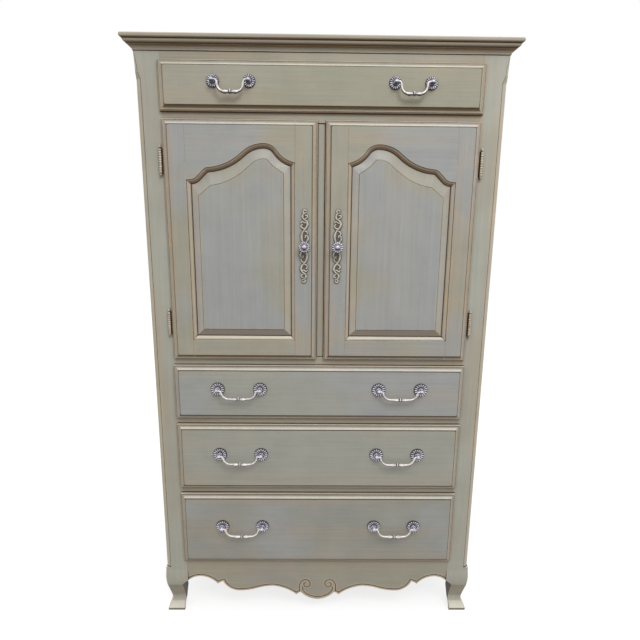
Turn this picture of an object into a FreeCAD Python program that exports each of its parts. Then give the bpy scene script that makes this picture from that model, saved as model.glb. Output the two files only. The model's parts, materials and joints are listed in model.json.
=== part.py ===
import FreeCAD, Part
import math
import os
import Sketcher
from FreeCAD import Rotation, Vector

# ---------------------------------------------------------------------------
# Painted two-door television armoire: one drawer above the doors, three below.
# Frame: X to the right, Y to the back, Z up from the floor. While a piece is
# drawn, y = 0 is the front face of the case; each finished piece is then
# moved by front_shift, which centres the whole armoire on the origin.
# All lengths are millimetres.
# ---------------------------------------------------------------------------

doc = FreeCAD.newDocument("armoire")
dims = doc.addObject("Spreadsheet::Sheet", "dims")

DRIVING = (
    # case
    ("case_width", 1000, "outside the posts"),
    ("case_depth", 520, "front face to back"),
    ("post_width", 70, "posts, across"),
    ("post_depth", 60, "front posts and front rails, front to back"),
    ("rear_post_depth", 50, "rear posts, front to back"),
    ("corner_radius", 16, "quarter round on the front corner of a post"),
    ("corner_quirk", 2, "step beside the quarter round"),
    ("moulding_runout", 70, "length of the lamb's tongue at each end"),
    # heights, from the floor up
    ("base_height", 195, "floor to the lip of the lowest drawer"),
    ("drawer_4_height", 245, "lowest drawer front"),
    ("drawer_3_height", 216, "third drawer front"),
    ("drawer_2_height", 170, "second drawer front"),
    ("door_height", 673, "doors"),
    ("drawer_1_height", 128, "top drawer front"),
    ("front_gap", 19, "frame seen between two fronts"),
    ("top_margin", 23, "top drawer front to the cornice"),
    ("cornice_height", 24, "mitred moulding under the top"),
    ("cornice_reach", 20, "how far the moulding stands out"),
    ("top_thickness", 12, "top board"),
    ("top_overhang", 26, "top board past the case"),
    # joinery of the case
    ("tenon_length", 25, "rail tenons"),
    ("tenon_thickness", 16, "rail tenons, front to back"),
    ("tenon_shoulder", 5, "rail beyond its tenon, above and below"),
    ("joint_clearance", 0.1, "groove or mortise around its tongue or tenon"),
    ("apron_thickness", 24, "front and side aprons"),
    ("side_rail_height", 75, "upper and middle side rails"),
    ("side_rail_thickness", 22, "side rails"),
    ("side_panel_thickness", 8, "side panels"),
    ("side_panel_setback", 6, "side panels behind the face of the side rails"),
    ("groove_depth", 8, "how deep panels sit in their grooves"),
    ("back_thickness", 6, "back panel"),
    ("back_rebate", 15, "back panel over the rear posts"),
    ("cable_hole_radius", 30, "cable outlet in the back"),
    ("cable_hole_height", 110, "cable outlet above the television deck"),
    ("cable_hole_offset", 130, "cable outlet to the right of the middle"),
    ("deck_thickness", 18, "television deck and shelf"),
    ("dust_panel_thickness", 8, "ceiling of the bay and bottom of the case"),
    ("shelf_drop", 190, "shelf below the top of the door opening"),
    ("shelf_clearance", 1.5, "shelf beside the posts"),
    ("shelf_pin_radius", 3, "shelf pins"),
    ("shelf_pin_reach", 12, "shelf pins out of the posts"),
    ("shelf_pin_inset", 12, "front pins behind the edge of the shelf"),
    ("runner_width", 50, "drawer runners, across"),
    ("runner_height", 20, "drawer runners"),
    ("guide_height", 22, "drawer guides above their runners"),
    # drawers
    ("lip_overlap", 6, "front over the edge of its opening"),
    ("drawer_lip_gap", 1, "drawer lip in front of the frame"),
    ("front_proud", 18, "fronts in front of the frame"),
    ("edge_thickness", 9, "outer edge of a moulded front"),
    ("moulding_width", 15, "moulded border of a front"),
    ("edge_nose", 2, "rounding of the outer edge"),
    ("edge_step", 3.5, "outer edge to the step of the border"),
    ("step_rise", 1, "that step"),
    ("field_quirk", 1, "between the cove of the border and the field"),
    ("field_step", 1.2, "field of a front above its moulding"),
    ("field_corner", 8, "corner radius of the field"),
    ("rebate_depth", 7, "front inside its opening"),
    ("rebate_clearance", 3, "front beside its opening"),
    ("drawer_side_thickness", 12, "drawer sides and backs"),
    ("drawer_side_clearance", 2, "drawer side to its guide"),
    ("drawer_run_gap", 0.3, "drawer side above its runner"),
    ("drawer_head_room", 14, "drawer side below the top of its opening"),
    ("drawer_depth", 440, "drawer boxes, from the front face of the case"),
    ("drawer_bottom_thickness", 6, "drawer bottoms"),
    ("drawer_bottom_rise", 10, "drawer bottom above the edge of the sides"),
    ("tail_length", 5, "dovetails of the sides in the fronts"),
    ("tail_pitch", 48, "dovetails, from one to the next"),
    # doors
    ("door_side_lip", 3, "door over the post"),
    ("door_lip_gap", 2, "door lip in front of the frame"),
    ("door_gap", 21.8, "between the two doors"),
    ("stile_width", 61.5, "stiles and rails up to the panel moulding"),
    ("sticking_width", 11.5, "moulding around the panel"),
    ("sticking_depth", 9.5, "depth of that moulding"),
    ("door_tenon_length", 30, "tenons of the door rails"),
    ("door_tenon_shoulder", 12, "door rail beyond its tenon"),
    ("panel_tongue", 8, "panel edge in its groove"),
    ("panel_edge_thickness", 5.6, "panel edge"),
    ("panel_play", 0.3, "bevel beside the moulding"),
    ("bevel_foot", 2.6, "low edge of the bevel in front of the panel edge"),
    ("panel_back", 0.3, "back of the panel behind the face of the case"),
    ("bevel_rise", 5.8, "bevel of the raised panel"),
    ("field_inset", 32, "raised field inside the panel opening"),
    ("field_drop", 40, "raised field below the crest of the panel opening"),
    ("field_ease", 0.8, "step of the field inside the bevel"),
    ("strip_overlap", 30, "centre strip behind the left door"),
    ("strip_clearance", 1.5, "centre strip beside the right door"),
    ("strip_thickness", 12, "centre strip behind the doors"),
    ("strip_setback", 0.4, "visible edge of the strip behind the case front"),
    ("catch_offset", 60, "catches from the middle of the armoire"),
    ("catch_width", 28, "catches, across"),
    ("catch_depth", 16, "catches, front to back"),
    ("catch_height", 9, "catches under the head rail"),
    ("catch_gap", 1, "catches behind the closed doors"),
    # hinges
    ("hinge_axis_out", 11.5, "hinge axis outside the opening"),
    ("hinge_axis_front", 6, "hinge axis in front of the case"),
    ("hinge_inset", 109.5, "hinge centre to the end of the door"),
    ("knuckle_radius", 4.25, "hinge barrel"),
    ("hinge_length", 64, "hinge barrel without its finials"),
    ("finial_height", 10, "finials of the hinge pin"),
    ("hinge_pin_radius", 2, "hinge pin"),
    ("pin_clearance", 0.05, "running clearance of pins"),
    ("leaf_thickness", 1.2, "hinge leaves"),
    ("leaf_length", 24, "hinge leaves inside the opening"),
    ("web_thickness", 4, "between a knuckle and its leaf"),
    ("knuckle_gap", 0.25, "between two knuckles"),
    # hardware
    ("pull_offset", 241.5, "pulls from the middle of a drawer"),
    ("pull_rise", 13, "pulls above the middle of a drawer"),
    ("top_pull_rise", 9, "pulls above the middle of the top drawer"),
    ("pull_spacing", 127, "posts of a large pull"),
    ("top_pull_spacing", 96, "posts of a small pull"),
    ("rosette_radius", 20.5, "rosettes of a large pull"),
    ("top_rosette_radius", 16.5, "rosettes of a small pull"),
    ("rosette_thickness", 7, "rosettes"),
    ("post_reach", 18, "bail axis in front of the drawer"),
    ("pull_post_radius", 4, "post of a pull"),
    ("eye_radius", 6, "round end of the post"),
    ("bail_radius", 2.5, "rod of a bail"),
    ("bail_side_gap", 0.5, "bail beside its posts"),
    ("bail_drop", 25, "large bail below its axis"),
    ("top_bail_drop", 29.5, "small bail below its axis"),
    ("bail_pivot_radius", 1.9, "ends of a bail in its posts"),
    ("bail_ring_radius", 6.5, "ring at the middle of a bail"),
    ("bail_ring_width", 4.8, "that ring, across"),
    ("bail_leaf_radius", 4.2, "swelling on each side of the ring"),
    ("bail_leaf_length", 13, "that swelling, along the rod"),
    ("knob_radius", 16, "door knobs"),
    ("knob_reach", 26, "door knobs out of the door"),
    ("knob_offset", 46.8, "knobs from the middle of the armoire"),
    ("knob_drop", 2.5, "knobs below the middle of the doors"),
    ("escutcheon_length", 209, "scrolled plates behind the knobs"),
    ("escutcheon_thickness", 1.8, "scrolled plates"),
)

for row, (alias, size, note) in enumerate(DRIVING, start=1):
    dims.set(f"A{row}", alias)
    dims.set(f"B{row}", str(size))
    dims.set(f"C{row}", note)
    dims.setAlias(f"B{row}", alias)
doc.recompute()


class Size:
    """A length written as a formula on the sheet: objects are bound to its text."""

    def __init__(self, text):
        self.text = str(text)

    def __float__(self):
        return float(dims.evalExpression(self.text))

    def __add__(self, other):
        return Size(f"({self.text} + {as_text(other)})")

    def __radd__(self, other):
        return Size(f"({as_text(other)} + {self.text})")

    def __sub__(self, other):
        return Size(f"({self.text} - {as_text(other)})")

    def __rsub__(self, other):
        return Size(f"({as_text(other)} - {self.text})")

    def __mul__(self, other):
        return Size(f"({self.text} * {as_text(other)})")

    __rmul__ = __mul__

    def __truediv__(self, other):
        return Size(f"({self.text} / {as_text(other)})")

    def __neg__(self):
        return Size(f"(0 - {self.text})")


def as_text(value):
    """The text of a Size, or of a number, for use in a formula."""
    if isinstance(value, Size):
        return value.text
    return f"({value!r})"


class Sheet:
    """Gives each cell of the sheet as a Size: s.case_width."""

    def __getattr__(self, alias):
        return Size(f"dims.{alias}")


s = Sheet()

# ------------------------------------------------------------ derived sizes

half_width = s.case_width / 2
opening_x = half_width - s.post_width
pull_reach = s.front_proud + s.post_reach + s.bail_ring_radius
front_shift = (pull_reach - s.case_depth) / 2

FRONTS = ("drawer_4", "drawer_3", "drawer_2", "door", "drawer_1")
lip_bottom = {}
lip_top = {}
level = s.base_height
for front in FRONTS:
    lip_bottom[front] = level
    lip_top[front] = level + getattr(s, f"{front}_height")
    level = lip_top[front] + s.front_gap
cornice_bottom = lip_top["drawer_1"] + s.top_margin
case_top = cornice_bottom + s.cornice_height
total_height = case_top + s.top_thickness

opening_bottom = {front: lip_bottom[front] + s.lip_overlap for front in FRONTS}
opening_top = {front: lip_top[front] - s.lip_overlap for front in FRONTS}

rear_post_front = s.case_depth - s.rear_post_depth
back_front = s.case_depth - s.back_thickness
side_inner = half_width - s.side_rail_thickness


# ------------------------------------------------------------- basic pieces

def box(label, x, y, z):
    """A board between the given faces, each a pair of Sizes or numbers."""
    board = doc.addObject("Part::Box", label)
    for side, (low, high) in zip(("Length", "Width", "Height"), (x, y, z)):
        board.setExpression(side, f"{as_text(high)} - {as_text(low)}")
    board.setExpression("Placement.Base.x", as_text(x[0]))
    board.setExpression("Placement.Base.y", f"{as_text(y[0])} + {front_shift.text}")
    board.setExpression("Placement.Base.z", as_text(z[0]))
    return board


def rod_x(label, radius, x, y, z):
    """A round rod along X."""
    rod = doc.addObject("Part::Cylinder", label)
    rod.setExpression("Radius", as_text(radius))
    rod.setExpression("Height", f"{as_text(x[1])} - {as_text(x[0])}")
    rod.Placement.Rotation = Rotation(Vector(0, 1, 0), 90)
    rod.setExpression("Placement.Base.x", as_text(x[0]))
    rod.setExpression("Placement.Base.y", f"{as_text(y)} + {front_shift.text}")
    rod.setExpression("Placement.Base.z", as_text(z))
    return rod


def fused(label, *pieces):
    whole = doc.addObject("Part::MultiFuse", label)
    whole.Shapes = list(pieces)
    return whole


def cut(label, base, *tools):
    """The base less its tools."""
    left = doc.addObject("Part::Cut", label)
    left.Base = base
    left.Tool = tools[0] if len(tools) == 1 else group(f"{label}_tools", *tools)
    return left


def group(label, *pieces):
    """Separate solids kept as one sub-part."""
    together = doc.addObject("Part::Compound", label)
    together.Links = list(pieces)
    return together


def shaped(label, shape):
    """A piece whose shape is worked out in this file from the sheet's sizes."""
    piece = doc.addObject("Part::Feature", label)
    piece.Shape = shape
    own_place = piece.Placement.Base.y
    piece.setExpression("Placement.Base.y", f"{front_shift.text} + {as_text(own_place)}")
    return piece


def sheet_body(label, outline, thickness, low):
    """A board cut to an outline seen from above: a sketch, padded upwards."""
    body = doc.addObject("PartDesign::Body", label)
    sketch = body.newObject("Sketcher::SketchObject", f"{label}_outline")
    plane = next(f for f in body.Origin.OriginFeatures if f.Role == "XY_Plane")
    sketch.AttachmentSupport = [(plane, "")]
    sketch.MapMode = "FlatFace"
    draw_polygon(sketch, outline)
    pad = body.newObject("PartDesign::Pad", f"{label}_thickness")
    pad.Profile = sketch
    pad.setExpression("Length", as_text(thickness))
    body.setExpression("Placement.Base.y", front_shift.text)
    body.setExpression("Placement.Base.z", as_text(low))
    return body


def draw_polygon(sketch, corners):
    """Straight edges through the corners, each corner tied to the sheet."""
    points = [Vector(float(x), float(y), 0) for x, y in corners]
    first = sketch.GeometryCount
    for here, there in zip(points, points[1:] + points[:1]):
        sketch.addGeometry(Part.LineSegment(here, there), False)
    for index, (x, y) in enumerate(corners):
        after = first + (index + 1) % len(corners)
        sketch.addConstraint(Sketcher.Constraint("Coincident", first + index, 2, after, 1))
        for direction, value in (("DistanceX", x), ("DistanceY", y)):
            tie = Sketcher.Constraint(direction, -1, 1, first + index, 1, float(value))
            number = sketch.addConstraint(tie)
            sketch.setExpression(f"Constraints[{number}]", as_text(value))


def front_face(points):
    """A face in the XZ plane. Each entry after the first is a corner, or a pair: the
    point an arc passes through and the point where it ends."""
    here = points[0]
    edges = []
    for step in points[1:]:
        if isinstance(step[0], tuple):
            through, end = step
            edges.append(Part.Arc(at(here), at(through), at(end)).toShape())
        else:
            end = step
            edges.append(Part.makeLine(at(here), at(end)))
        here = end
    if math.dist(here, points[0]) > 1e-6:
        edges.append(Part.makeLine(at(here), at(points[0])))
    return Part.Face(Part.Wire(edges))


def at(point, y=0.0):
    """A point of the XZ plane as a vector."""
    return Vector(point[0], y, point[1])


def prism(face, y0, y1):
    """A face of the XZ plane, carried along Y."""
    moved = face.copy()
    moved.translate(Vector(0, y0, 0))
    return moved.extrude(Vector(0, y1 - y0, 0))


def block(x0, x1, y0, y1, z0, z1):
    """A box as a plain shape, for cutting."""
    return Part.makeBox(x1 - x0, y1 - y0, z1 - z0, Vector(x0, y0, z0))


def mirrored(shape):
    """The same piece on the other side of the armoire."""
    return shape.mirror(Vector(0, 0, 0), Vector(1, 0, 0))


# --------------------------------------------------------------- front rails

tenon_front = (s.post_depth - s.tenon_thickness) / 2
tenon_y = (tenon_front, tenon_front + s.tenon_thickness)
tenon_x = (-opening_x - s.tenon_length, opening_x + s.tenon_length)
front_tenons = []


def front_rail(label, bottom, top):
    """A rail between the front posts, with a tenon at each end."""
    rail = box(f"{label}_rail", (-opening_x, opening_x), (0, s.post_depth), (bottom, top))
    tenon_z = (bottom + s.tenon_shoulder, top - s.tenon_shoulder)
    tenons = box(f"{label}_tenons", tenon_x, tenon_y, tenon_z)
    front_tenons.append(tenon_z)
    return fused(label, rail, tenons)


top_rail = front_rail("top_rail", opening_top["drawer_1"], case_top)
head_rail = front_rail("head_rail", opening_top["door"], opening_bottom["drawer_1"])
sill_rail = front_rail("sill_rail", opening_top["drawer_2"], opening_bottom["door"])
upper_rail = front_rail("upper_rail", opening_top["drawer_3"], opening_bottom["drawer_2"])
lower_rail = front_rail("lower_rail", opening_top["drawer_4"], opening_bottom["drawer_3"])
door_rails = group("door_rails", head_rail, sill_rail)
drawer_rails = group("drawer_rails", upper_rail, lower_rail)

# --------------------------------------------------------------- front apron
# The lower edge of the right half, from the post to the middle: shares of the
# half width and of the base height, as (through, end) of each arc.

APRON_EDGE = (
    ((0.953, 0.649), (0.895, 0.670)),
    ((0.830, 0.628), (0.771, 0.520)),
    ((0.752, 0.551), (0.730, 0.570)),
    ((0.681, 0.441), (0.614, 0.387)),
    ((0.549, 0.395), (0.479, 0.427)),
    ((0.409, 0.467), (0.344, 0.481)),
    ((0.249, 0.426), (0.163, 0.308)),
    ((0.147, 0.341), (0.130, 0.357)),
    ((0.070, 0.256), (0.000, 0.217)),
)
APRON_START = (1.0, 0.585)


def apron_point(share):
    return (share[0] * float(opening_x), share[1] * float(s.base_height))


def apron_shape():
    """The shaped board under the lowest drawer, with its tenons."""
    top = float(opening_bottom["drawer_4"])
    half = float(opening_x)
    outline = [(half, top), apron_point(APRON_START)]
    for through, end in APRON_EDGE:
        outline.append((apron_point(through), apron_point(end)))
    outline.append((0.0, top))
    right = prism(front_face(outline), 0, float(s.apron_thickness))
    board = right.fuse(mirrored(right)).removeSplitter()
    return board.fuse(apron_tenons(0.0)).removeSplitter()


def apron_tenons(clearance):
    """The long tenon strip of the apron, or the mortise around it."""
    reach = float(opening_x + s.tenon_length) + clearance
    thick = float(s.apron_thickness)
    top = float(opening_bottom["drawer_4"]) - float(s.tenon_shoulder) + clearance
    bottom = float(s.base_height) * APRON_EDGE[0][1][1] + float(s.tenon_shoulder) - clearance
    return block(-reach, reach, thick / 3 - clearance, thick * 2 / 3 + clearance, bottom, top)


shaped("apron", apron_shape())

# --------------------------------------------------------------- front posts
# Foot outlines, seen from the front and, turned round the corner, from the
# side: distance from the outer face as a share of the width of the post, and
# height as a share of the base height.

KNEE_START = 0.790
FOOT_OUTER = (
    ((-0.021, 0.636), (0.014, 0.497)),
    ((0.093, 0.379), (0.164, 0.262)),
    ((0.180, 0.195), (0.157, 0.144)),
    ((0.079, 0.082), (-0.014, 0.041)),
)
FOOT_INNER = (
    ((0.771, 0.092), (0.814, 0.174)),
    ((0.771, 0.350), (0.714, 0.492)),
    ((0.843, 0.545), (1.000, 0.585)),
)
FOOT_SOLE = 0.771
# The rear inside of the foot, along the diagonal of the post.
FOOT_DIAGONAL = (
    ((0.800, 0.150), (1.086, 0.290)),
    ((1.200, 0.400), (1.429, 0.480)),
)
DIAGONAL_SOLE = 0.600
MOULDING_FOOT = 0.846


def foot_point(pair):
    return (pair[0] * float(s.post_width), pair[1] * float(s.base_height))


def foot_outline(top):
    """The post and its foot seen from the front, as distance from the outer face."""
    outline = [(0.0, 0.0), foot_point((FOOT_SOLE, 0.0))]
    for through, end in FOOT_INNER:
        outline.append((foot_point(through), foot_point(end)))
    outline.append((float(s.post_width), top))
    outline.append((0.0, top))
    outline.append(foot_point((0.0, KNEE_START)))
    for through, end in FOOT_OUTER:
        outline.append((foot_point(through), foot_point(end)))
    return front_face(outline)


def diagonal_outline(top):
    """The leg along the diagonal of the post: its rear inside is scooped out."""
    far = 3 * float(s.post_width)
    outline = [(-far, 0.0), foot_point((DIAGONAL_SOLE, 0.0))]
    for through, end in FOOT_DIAGONAL:
        outline.append((foot_point(through), foot_point(end)))
    outline.extend([(far, outline[-1][1][1]), (far, top), (-far, top)])
    return front_face(outline)


def left_post():
    """The left front post with its foot, corner moulding and mortises."""
    top = float(case_top)
    width = float(s.post_width)
    far = 2 * width
    outline = foot_outline(top)
    front_view = prism(outline, -far, far)
    side_view = prism(outline, -far, far)
    side_view.rotate(Vector(0, 0, 0), Vector(0, 0, 1), 90)
    side_view = side_view.mirror(Vector(0, 0, 0), Vector(1, 0, 0))
    diagonal = prism(diagonal_outline(top), -far, far)
    diagonal.rotate(Vector(0, 0, 0), Vector(0, 0, 1), 45)
    post = front_view.common(side_view).common(diagonal)
    deep = block(-far, far, float(s.post_depth), far, -1, top + 1)
    post = post.cut(deep).cut(corner_cutter(top))
    post.translate(Vector(-float(half_width), 0, 0))
    for bottom, upper in front_tenons:
        post = post.cut(mortise(bottom, upper))
    return post.cut(apron_tenons(float(s.joint_clearance))).removeSplitter()


def mortise(bottom, top):
    """The hole that a rail tenon of these heights sits in."""
    room = float(s.joint_clearance)
    x0, x1 = (float(value) for value in tenon_x)
    y0, y1 = (float(value) for value in tenon_y)
    return block(x0 - room, x1 + room, y0 - room, y1 + room, float(bottom) - room, float(top) + room)


def corner_cutter(top):
    """What is planed off the corner: a quarter round that runs out at both ends."""
    runout = float(s.moulding_runout)
    low = MOULDING_FOOT * float(s.base_height)
    high = float(cornice_bottom)
    cutter = corner_section(1.0, low).extrude(Vector(0, 0, high - runout - low))
    tongue = [corner_wire(share, high - runout + rise * runout) for share, rise in
              ((1.0, 0.0), (0.55, 0.25), (0.5, 0.5), (0.25, 0.8), (0.02, 1.0))]
    return cutter.fuse(Part.makeLoft(tongue, True, True))


QUIRK_SHARE = 0.2


def corner_wire(share, z):
    """Outline of the waste at the corner, at a share of its full size."""
    radius = float(s.corner_radius) * share
    quirk = float(s.corner_quirk) * share
    middle = radius * (1 - math.sqrt(0.5))
    start = Vector(radius + QUIRK_SHARE * quirk, -1, z)
    inner = Vector(radius + QUIRK_SHARE * quirk, quirk, z)
    bead = Vector(radius, quirk, z)
    through = Vector(middle, quirk + middle, z)
    side = Vector(0, quirk + radius, z)
    outside = Vector(-1, quirk + radius, z)
    corner = Vector(-1, -1, z)
    return Part.Wire([
        Part.makeLine(start, inner),
        Part.makeLine(inner, bead),
        Part.Arc(bead, through, side).toShape(),
        Part.makeLine(side, outside),
        Part.makeLine(outside, corner),
        Part.makeLine(corner, start),
    ])


def corner_section(share, z):
    return Part.Face(corner_wire(share, z))


# ---------------------------------------------------- rear posts and the back

rear_posts = []
for side, sign in (("left", -1), ("right", 1)):
    outer = half_width * sign
    inner = opening_x * sign
    across = (outer, inner) if sign < 0 else (inner, outer)
    post = box(f"rear_post_{side}_blank", across, (rear_post_front, s.case_depth), (0, case_top))
    seat = inner + s.back_rebate * sign
    across = (seat, inner) if sign < 0 else (inner, seat)
    rebate = box(f"rear_post_{side}_rebate", across, (back_front, s.case_depth), (0, case_top))
    rear_posts.append(cut(f"rear_post_{side}", post, rebate))
back_half = opening_x + s.back_rebate
back_bottom = opening_bottom["drawer_4"] - s.runner_height - s.dust_panel_thickness


def back_body():
    """The back panel: a sketch on the XZ plane, padded, with the cable outlet pocketed."""
    body = doc.addObject("PartDesign::Body", "back_panel")
    plane = next(f for f in body.Origin.OriginFeatures if f.Role == "XZ_Plane")
    outline = body.newObject("Sketcher::SketchObject", "back_outline")
    outline.AttachmentSupport = [(plane, "")]
    outline.MapMode = "FlatFace"
    corners = (
        (-back_half, back_bottom), (back_half, back_bottom), (back_half, case_top), (-back_half, case_top)
    )
    draw_polygon(outline, corners)
    pad = body.newObject("PartDesign::Pad", "back_board")
    pad.Profile = outline
    pad.setExpression("Length", s.back_thickness.text)
    doc.recompute()
    hole = body.newObject("Sketcher::SketchObject", "cable_hole")
    hole.AttachmentSupport = [(plane, "")]
    hole.MapMode = "FlatFace"
    height = opening_bottom["door"] + s.cable_hole_height
    offset = s.cable_hole_offset
    centre = Vector(float(offset), float(height), 0)
    circle = Part.Circle(centre, Vector(0, 0, 1), float(s.cable_hole_radius))
    hole.addGeometry(circle, False)
    for direction, value in (("DistanceX", offset), ("DistanceY", height)):
        number = hole.addConstraint(Sketcher.Constraint(direction, -1, 1, 0, 3, float(value)))
        hole.setExpression(f"Constraints[{number}]", value.text)
    number = hole.addConstraint(Sketcher.Constraint("Radius", 0, float(s.cable_hole_radius)))
    hole.setExpression(f"Constraints[{number}]", s.cable_hole_radius.text)
    pocket = body.newObject("PartDesign::Pocket", "cable_outlet")
    pocket.Profile = hole
    pocket.Type = "ThroughAll"
    pocket.Midplane = True
    body.setExpression("Placement.Base.y", f"{front_shift.text} + {s.case_depth.text}")
    return body


back_body()

# ------------------------------------------------------------------- the sides
# Each side: upper, middle and shaped lower rail between the posts, and two flat
# panels held in grooves of the rails and the posts.

side_tongue = s.groove_depth
panel_outer = half_width - s.side_panel_setback
panel_inner = panel_outer - s.side_panel_thickness
middle_rail_bottom = opening_top["drawer_2"] - (s.side_rail_height - s.front_gap) / 2
middle_rail_top = middle_rail_bottom + s.side_rail_height
upper_rail_bottom = case_top - s.side_rail_height
lower_rail_top = opening_bottom["drawer_4"] + s.front_gap
side_bays = ((lower_rail_top, middle_rail_bottom), (middle_rail_top, upper_rail_bottom))

SIDE_APRON = (
    ((0.12, 0.680), (0.22, 0.700)),
    ((0.38, 0.600), (0.50, 0.560)),
    ((0.62, 0.600), (0.78, 0.700)),
    ((0.88, 0.680), (1.00, 0.585)),
)


def side_blank(low, high, room=0.0):
    """A right side panel with its tongues, or the groove around them."""
    tongue = float(side_tongue) + room
    return block(
        float(panel_inner) - room, float(panel_outer) + room,
        float(s.post_depth) - tongue, float(rear_post_front) + tongue,
        float(low) - tongue, float(high) + tongue,
    )


def side_grooves():
    room = float(s.joint_clearance)
    lower, upper = (side_blank(low, high, room) for low, high in side_bays)
    return lower.fuse(upper)


def side_rail(low, high):
    """A straight rail of the right side."""
    return block(
        float(side_inner), float(half_width),
        float(s.post_depth), float(rear_post_front), float(low), float(high),
    )


def side_apron():
    """The lower rail of the right side, with its curved lower edge."""
    start = float(s.post_depth)
    span = float(rear_post_front) - start
    tall = float(s.base_height)
    top = float(lower_rail_top)
    outline = [(0.0, top), (0.0, 0.585 * tall)]
    for through, end in SIDE_APRON:
        outline.append(((through[0] * span, through[1] * tall), (end[0] * span, end[1] * tall)))
    outline.append((span, top))
    board = prism(front_face(outline), 0, float(s.side_rail_thickness))
    board.rotate(Vector(0, 0, 0), Vector(0, 0, 1), 90)
    board.translate(Vector(float(half_width), start, 0))
    return board


grooves = side_grooves()
right_side_rails = [
    side_apron().cut(grooves),
    side_rail(middle_rail_bottom, middle_rail_top).cut(grooves),
    side_rail(upper_rail_bottom, case_top).cut(grooves),
]
right_side_panels = [side_blank(low, high) for low, high in side_bays]


def both_sides(shapes):
    return Part.makeCompound(shapes + [mirrored(shape) for shape in shapes])


shaped("side_rails", both_sides(right_side_rails))
shaped("side_panels", both_sides(right_side_panels))
left_front_post = left_post().cut(mirrored(grooves))
shaped("front_post_left", left_front_post)
shaped("front_post_right", mirrored(left_front_post))
groove_tools = shaped("rear_post_grooves", both_sides([grooves]))
cut("rear_posts", group("rear_posts_blank", *rear_posts), groove_tools)


# ----------------------------------------------------- decks, panels and shelf

def deck_outline(back):
    """A deck between the sides, notched round the rear posts."""
    return (
        (-side_inner, s.post_depth),
        (side_inner, s.post_depth),
        (side_inner, rear_post_front),
        (opening_x, rear_post_front),
        (opening_x, back),
        (-opening_x, back),
        (-opening_x, rear_post_front),
        (-side_inner, rear_post_front),
    )


tv_deck = sheet_body(
    "tv_deck", deck_outline(back_front), s.deck_thickness, opening_bottom["door"] - s.deck_thickness
)
bay_ceiling = sheet_body(
    "bay_ceiling", deck_outline(back_front), s.dust_panel_thickness, opening_top["door"]
)
case_bottom = sheet_body(
    "case_bottom", deck_outline(back_front), s.dust_panel_thickness, back_bottom
)
dust_panels = group("dust_panels", bay_ceiling, case_bottom)

shelf_half = opening_x - s.shelf_clearance
shelf_front = s.rebate_depth + s.strip_thickness + s.shelf_clearance
shelf_back = back_front - s.shelf_clearance
shelf_bottom = opening_top["door"] - s.shelf_drop
shelf_outline = (
    (-shelf_half, shelf_front),
    (shelf_half, shelf_front),
    (shelf_half, shelf_back),
    (-shelf_half, shelf_back),
)
adjustable_shelf = sheet_body("adjustable_shelf", shelf_outline, s.deck_thickness, shelf_bottom)

pins = []
pin_z = shelf_bottom - s.shelf_pin_radius - s.joint_clearance
for side, sign in (("left", -1), ("right", 1)):
    rear_pin = rear_post_front + s.rear_post_depth / 2
    for end, y in (("front", shelf_front + s.shelf_pin_inset), ("rear", rear_pin)):
        tip = (opening_x - s.shelf_pin_reach) * sign
        seat = opening_x * sign
        span = (seat, tip) if sign < 0 else (tip, seat)
        pins.append(rod_x(f"shelf_pin_{side}_{end}", s.shelf_pin_radius, span, y, pin_z))
shelf_pins = group("shelf_pins", *pins)

# ------------------------------------------------------------- top and cornice

TOP_ROUNDING = 0.38
top_half = half_width + s.top_overhang
top_outline = (
    (-top_half, -s.top_overhang),
    (top_half, -s.top_overhang),
    (top_half, s.case_depth),
    (-top_half, s.case_depth),
)
top_board = sheet_body("top_board", top_outline, s.top_thickness, case_top)
doc.recompute()
square_board = doc.getObject("top_board_thickness")
front_and_sides = []
for number, edge in enumerate(square_board.Shape.Edges, start=1):
    bounds = edge.BoundBox
    flat = bounds.ZLength < 0.01
    at_back = bounds.YMin > float(s.case_depth) - 0.01
    if flat and not at_back:
        front_and_sides.append(f"Edge{number}")
rounding = top_board.newObject("PartDesign::Fillet", "top_rounding")
rounding.Base = (square_board, front_and_sides)
rounding.setExpression("Radius", (s.top_thickness * TOP_ROUNDING).text)
top_board.Tip = rounding


def cornice_profile():
    """Section of the moulding, outwards and up from the lower edge: cove, fillet, round."""
    reach = float(s.cornice_reach)
    tall = float(s.cornice_height)
    return (
        (0.0, 0.0),
        (0.10 * reach, 0.0),
        ((0.22 * reach, 0.36 * tall), (0.52 * reach, 0.50 * tall)),
        (0.60 * reach, 0.50 * tall),
        (0.60 * reach, 0.58 * tall),
        ((0.90 * reach, 0.70 * tall), (reach, 1.0 * tall)),
        (0.0, tall),
    )


def cornice_pieces():
    """The moulding on the front and both sides, mitred at the front corners."""
    face = front_face(cornice_profile())
    half = float(half_width)
    deep = float(s.case_depth)
    reach = float(s.cornice_reach)
    low = float(cornice_bottom)
    far = half + 2 * reach
    tall = float(s.cornice_height)
    side = prism(face, -2 * reach, deep)
    side.translate(Vector(half, 0, low))
    front = prism(face, -far, far)
    front.rotate(Vector(0, 0, 0), Vector(0, 0, 1), -90)
    front.translate(Vector(0, 0, low))
    wedge_face = Part.Face(Part.makePolygon([
        Vector(half, 0, low - 1), Vector(half + 2 * reach, -2 * reach, low - 1),
        Vector(half + 2 * reach, deep, low - 1), Vector(half, deep, low - 1), Vector(half, 0, low - 1),
    ]))
    wedge = wedge_face.extrude(Vector(0, 0, tall + 2))
    right = side.common(wedge)
    front = front.cut(wedge).cut(mirrored(wedge))
    front = front.common(block(-far, far, -2 * reach, 0, low - 1, low + tall + 1))
    return Part.makeCompound([front, right, mirrored(right)])


shaped("cornice", cornice_pieces())

# ---------------------------------------------------------- runners and guides

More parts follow.
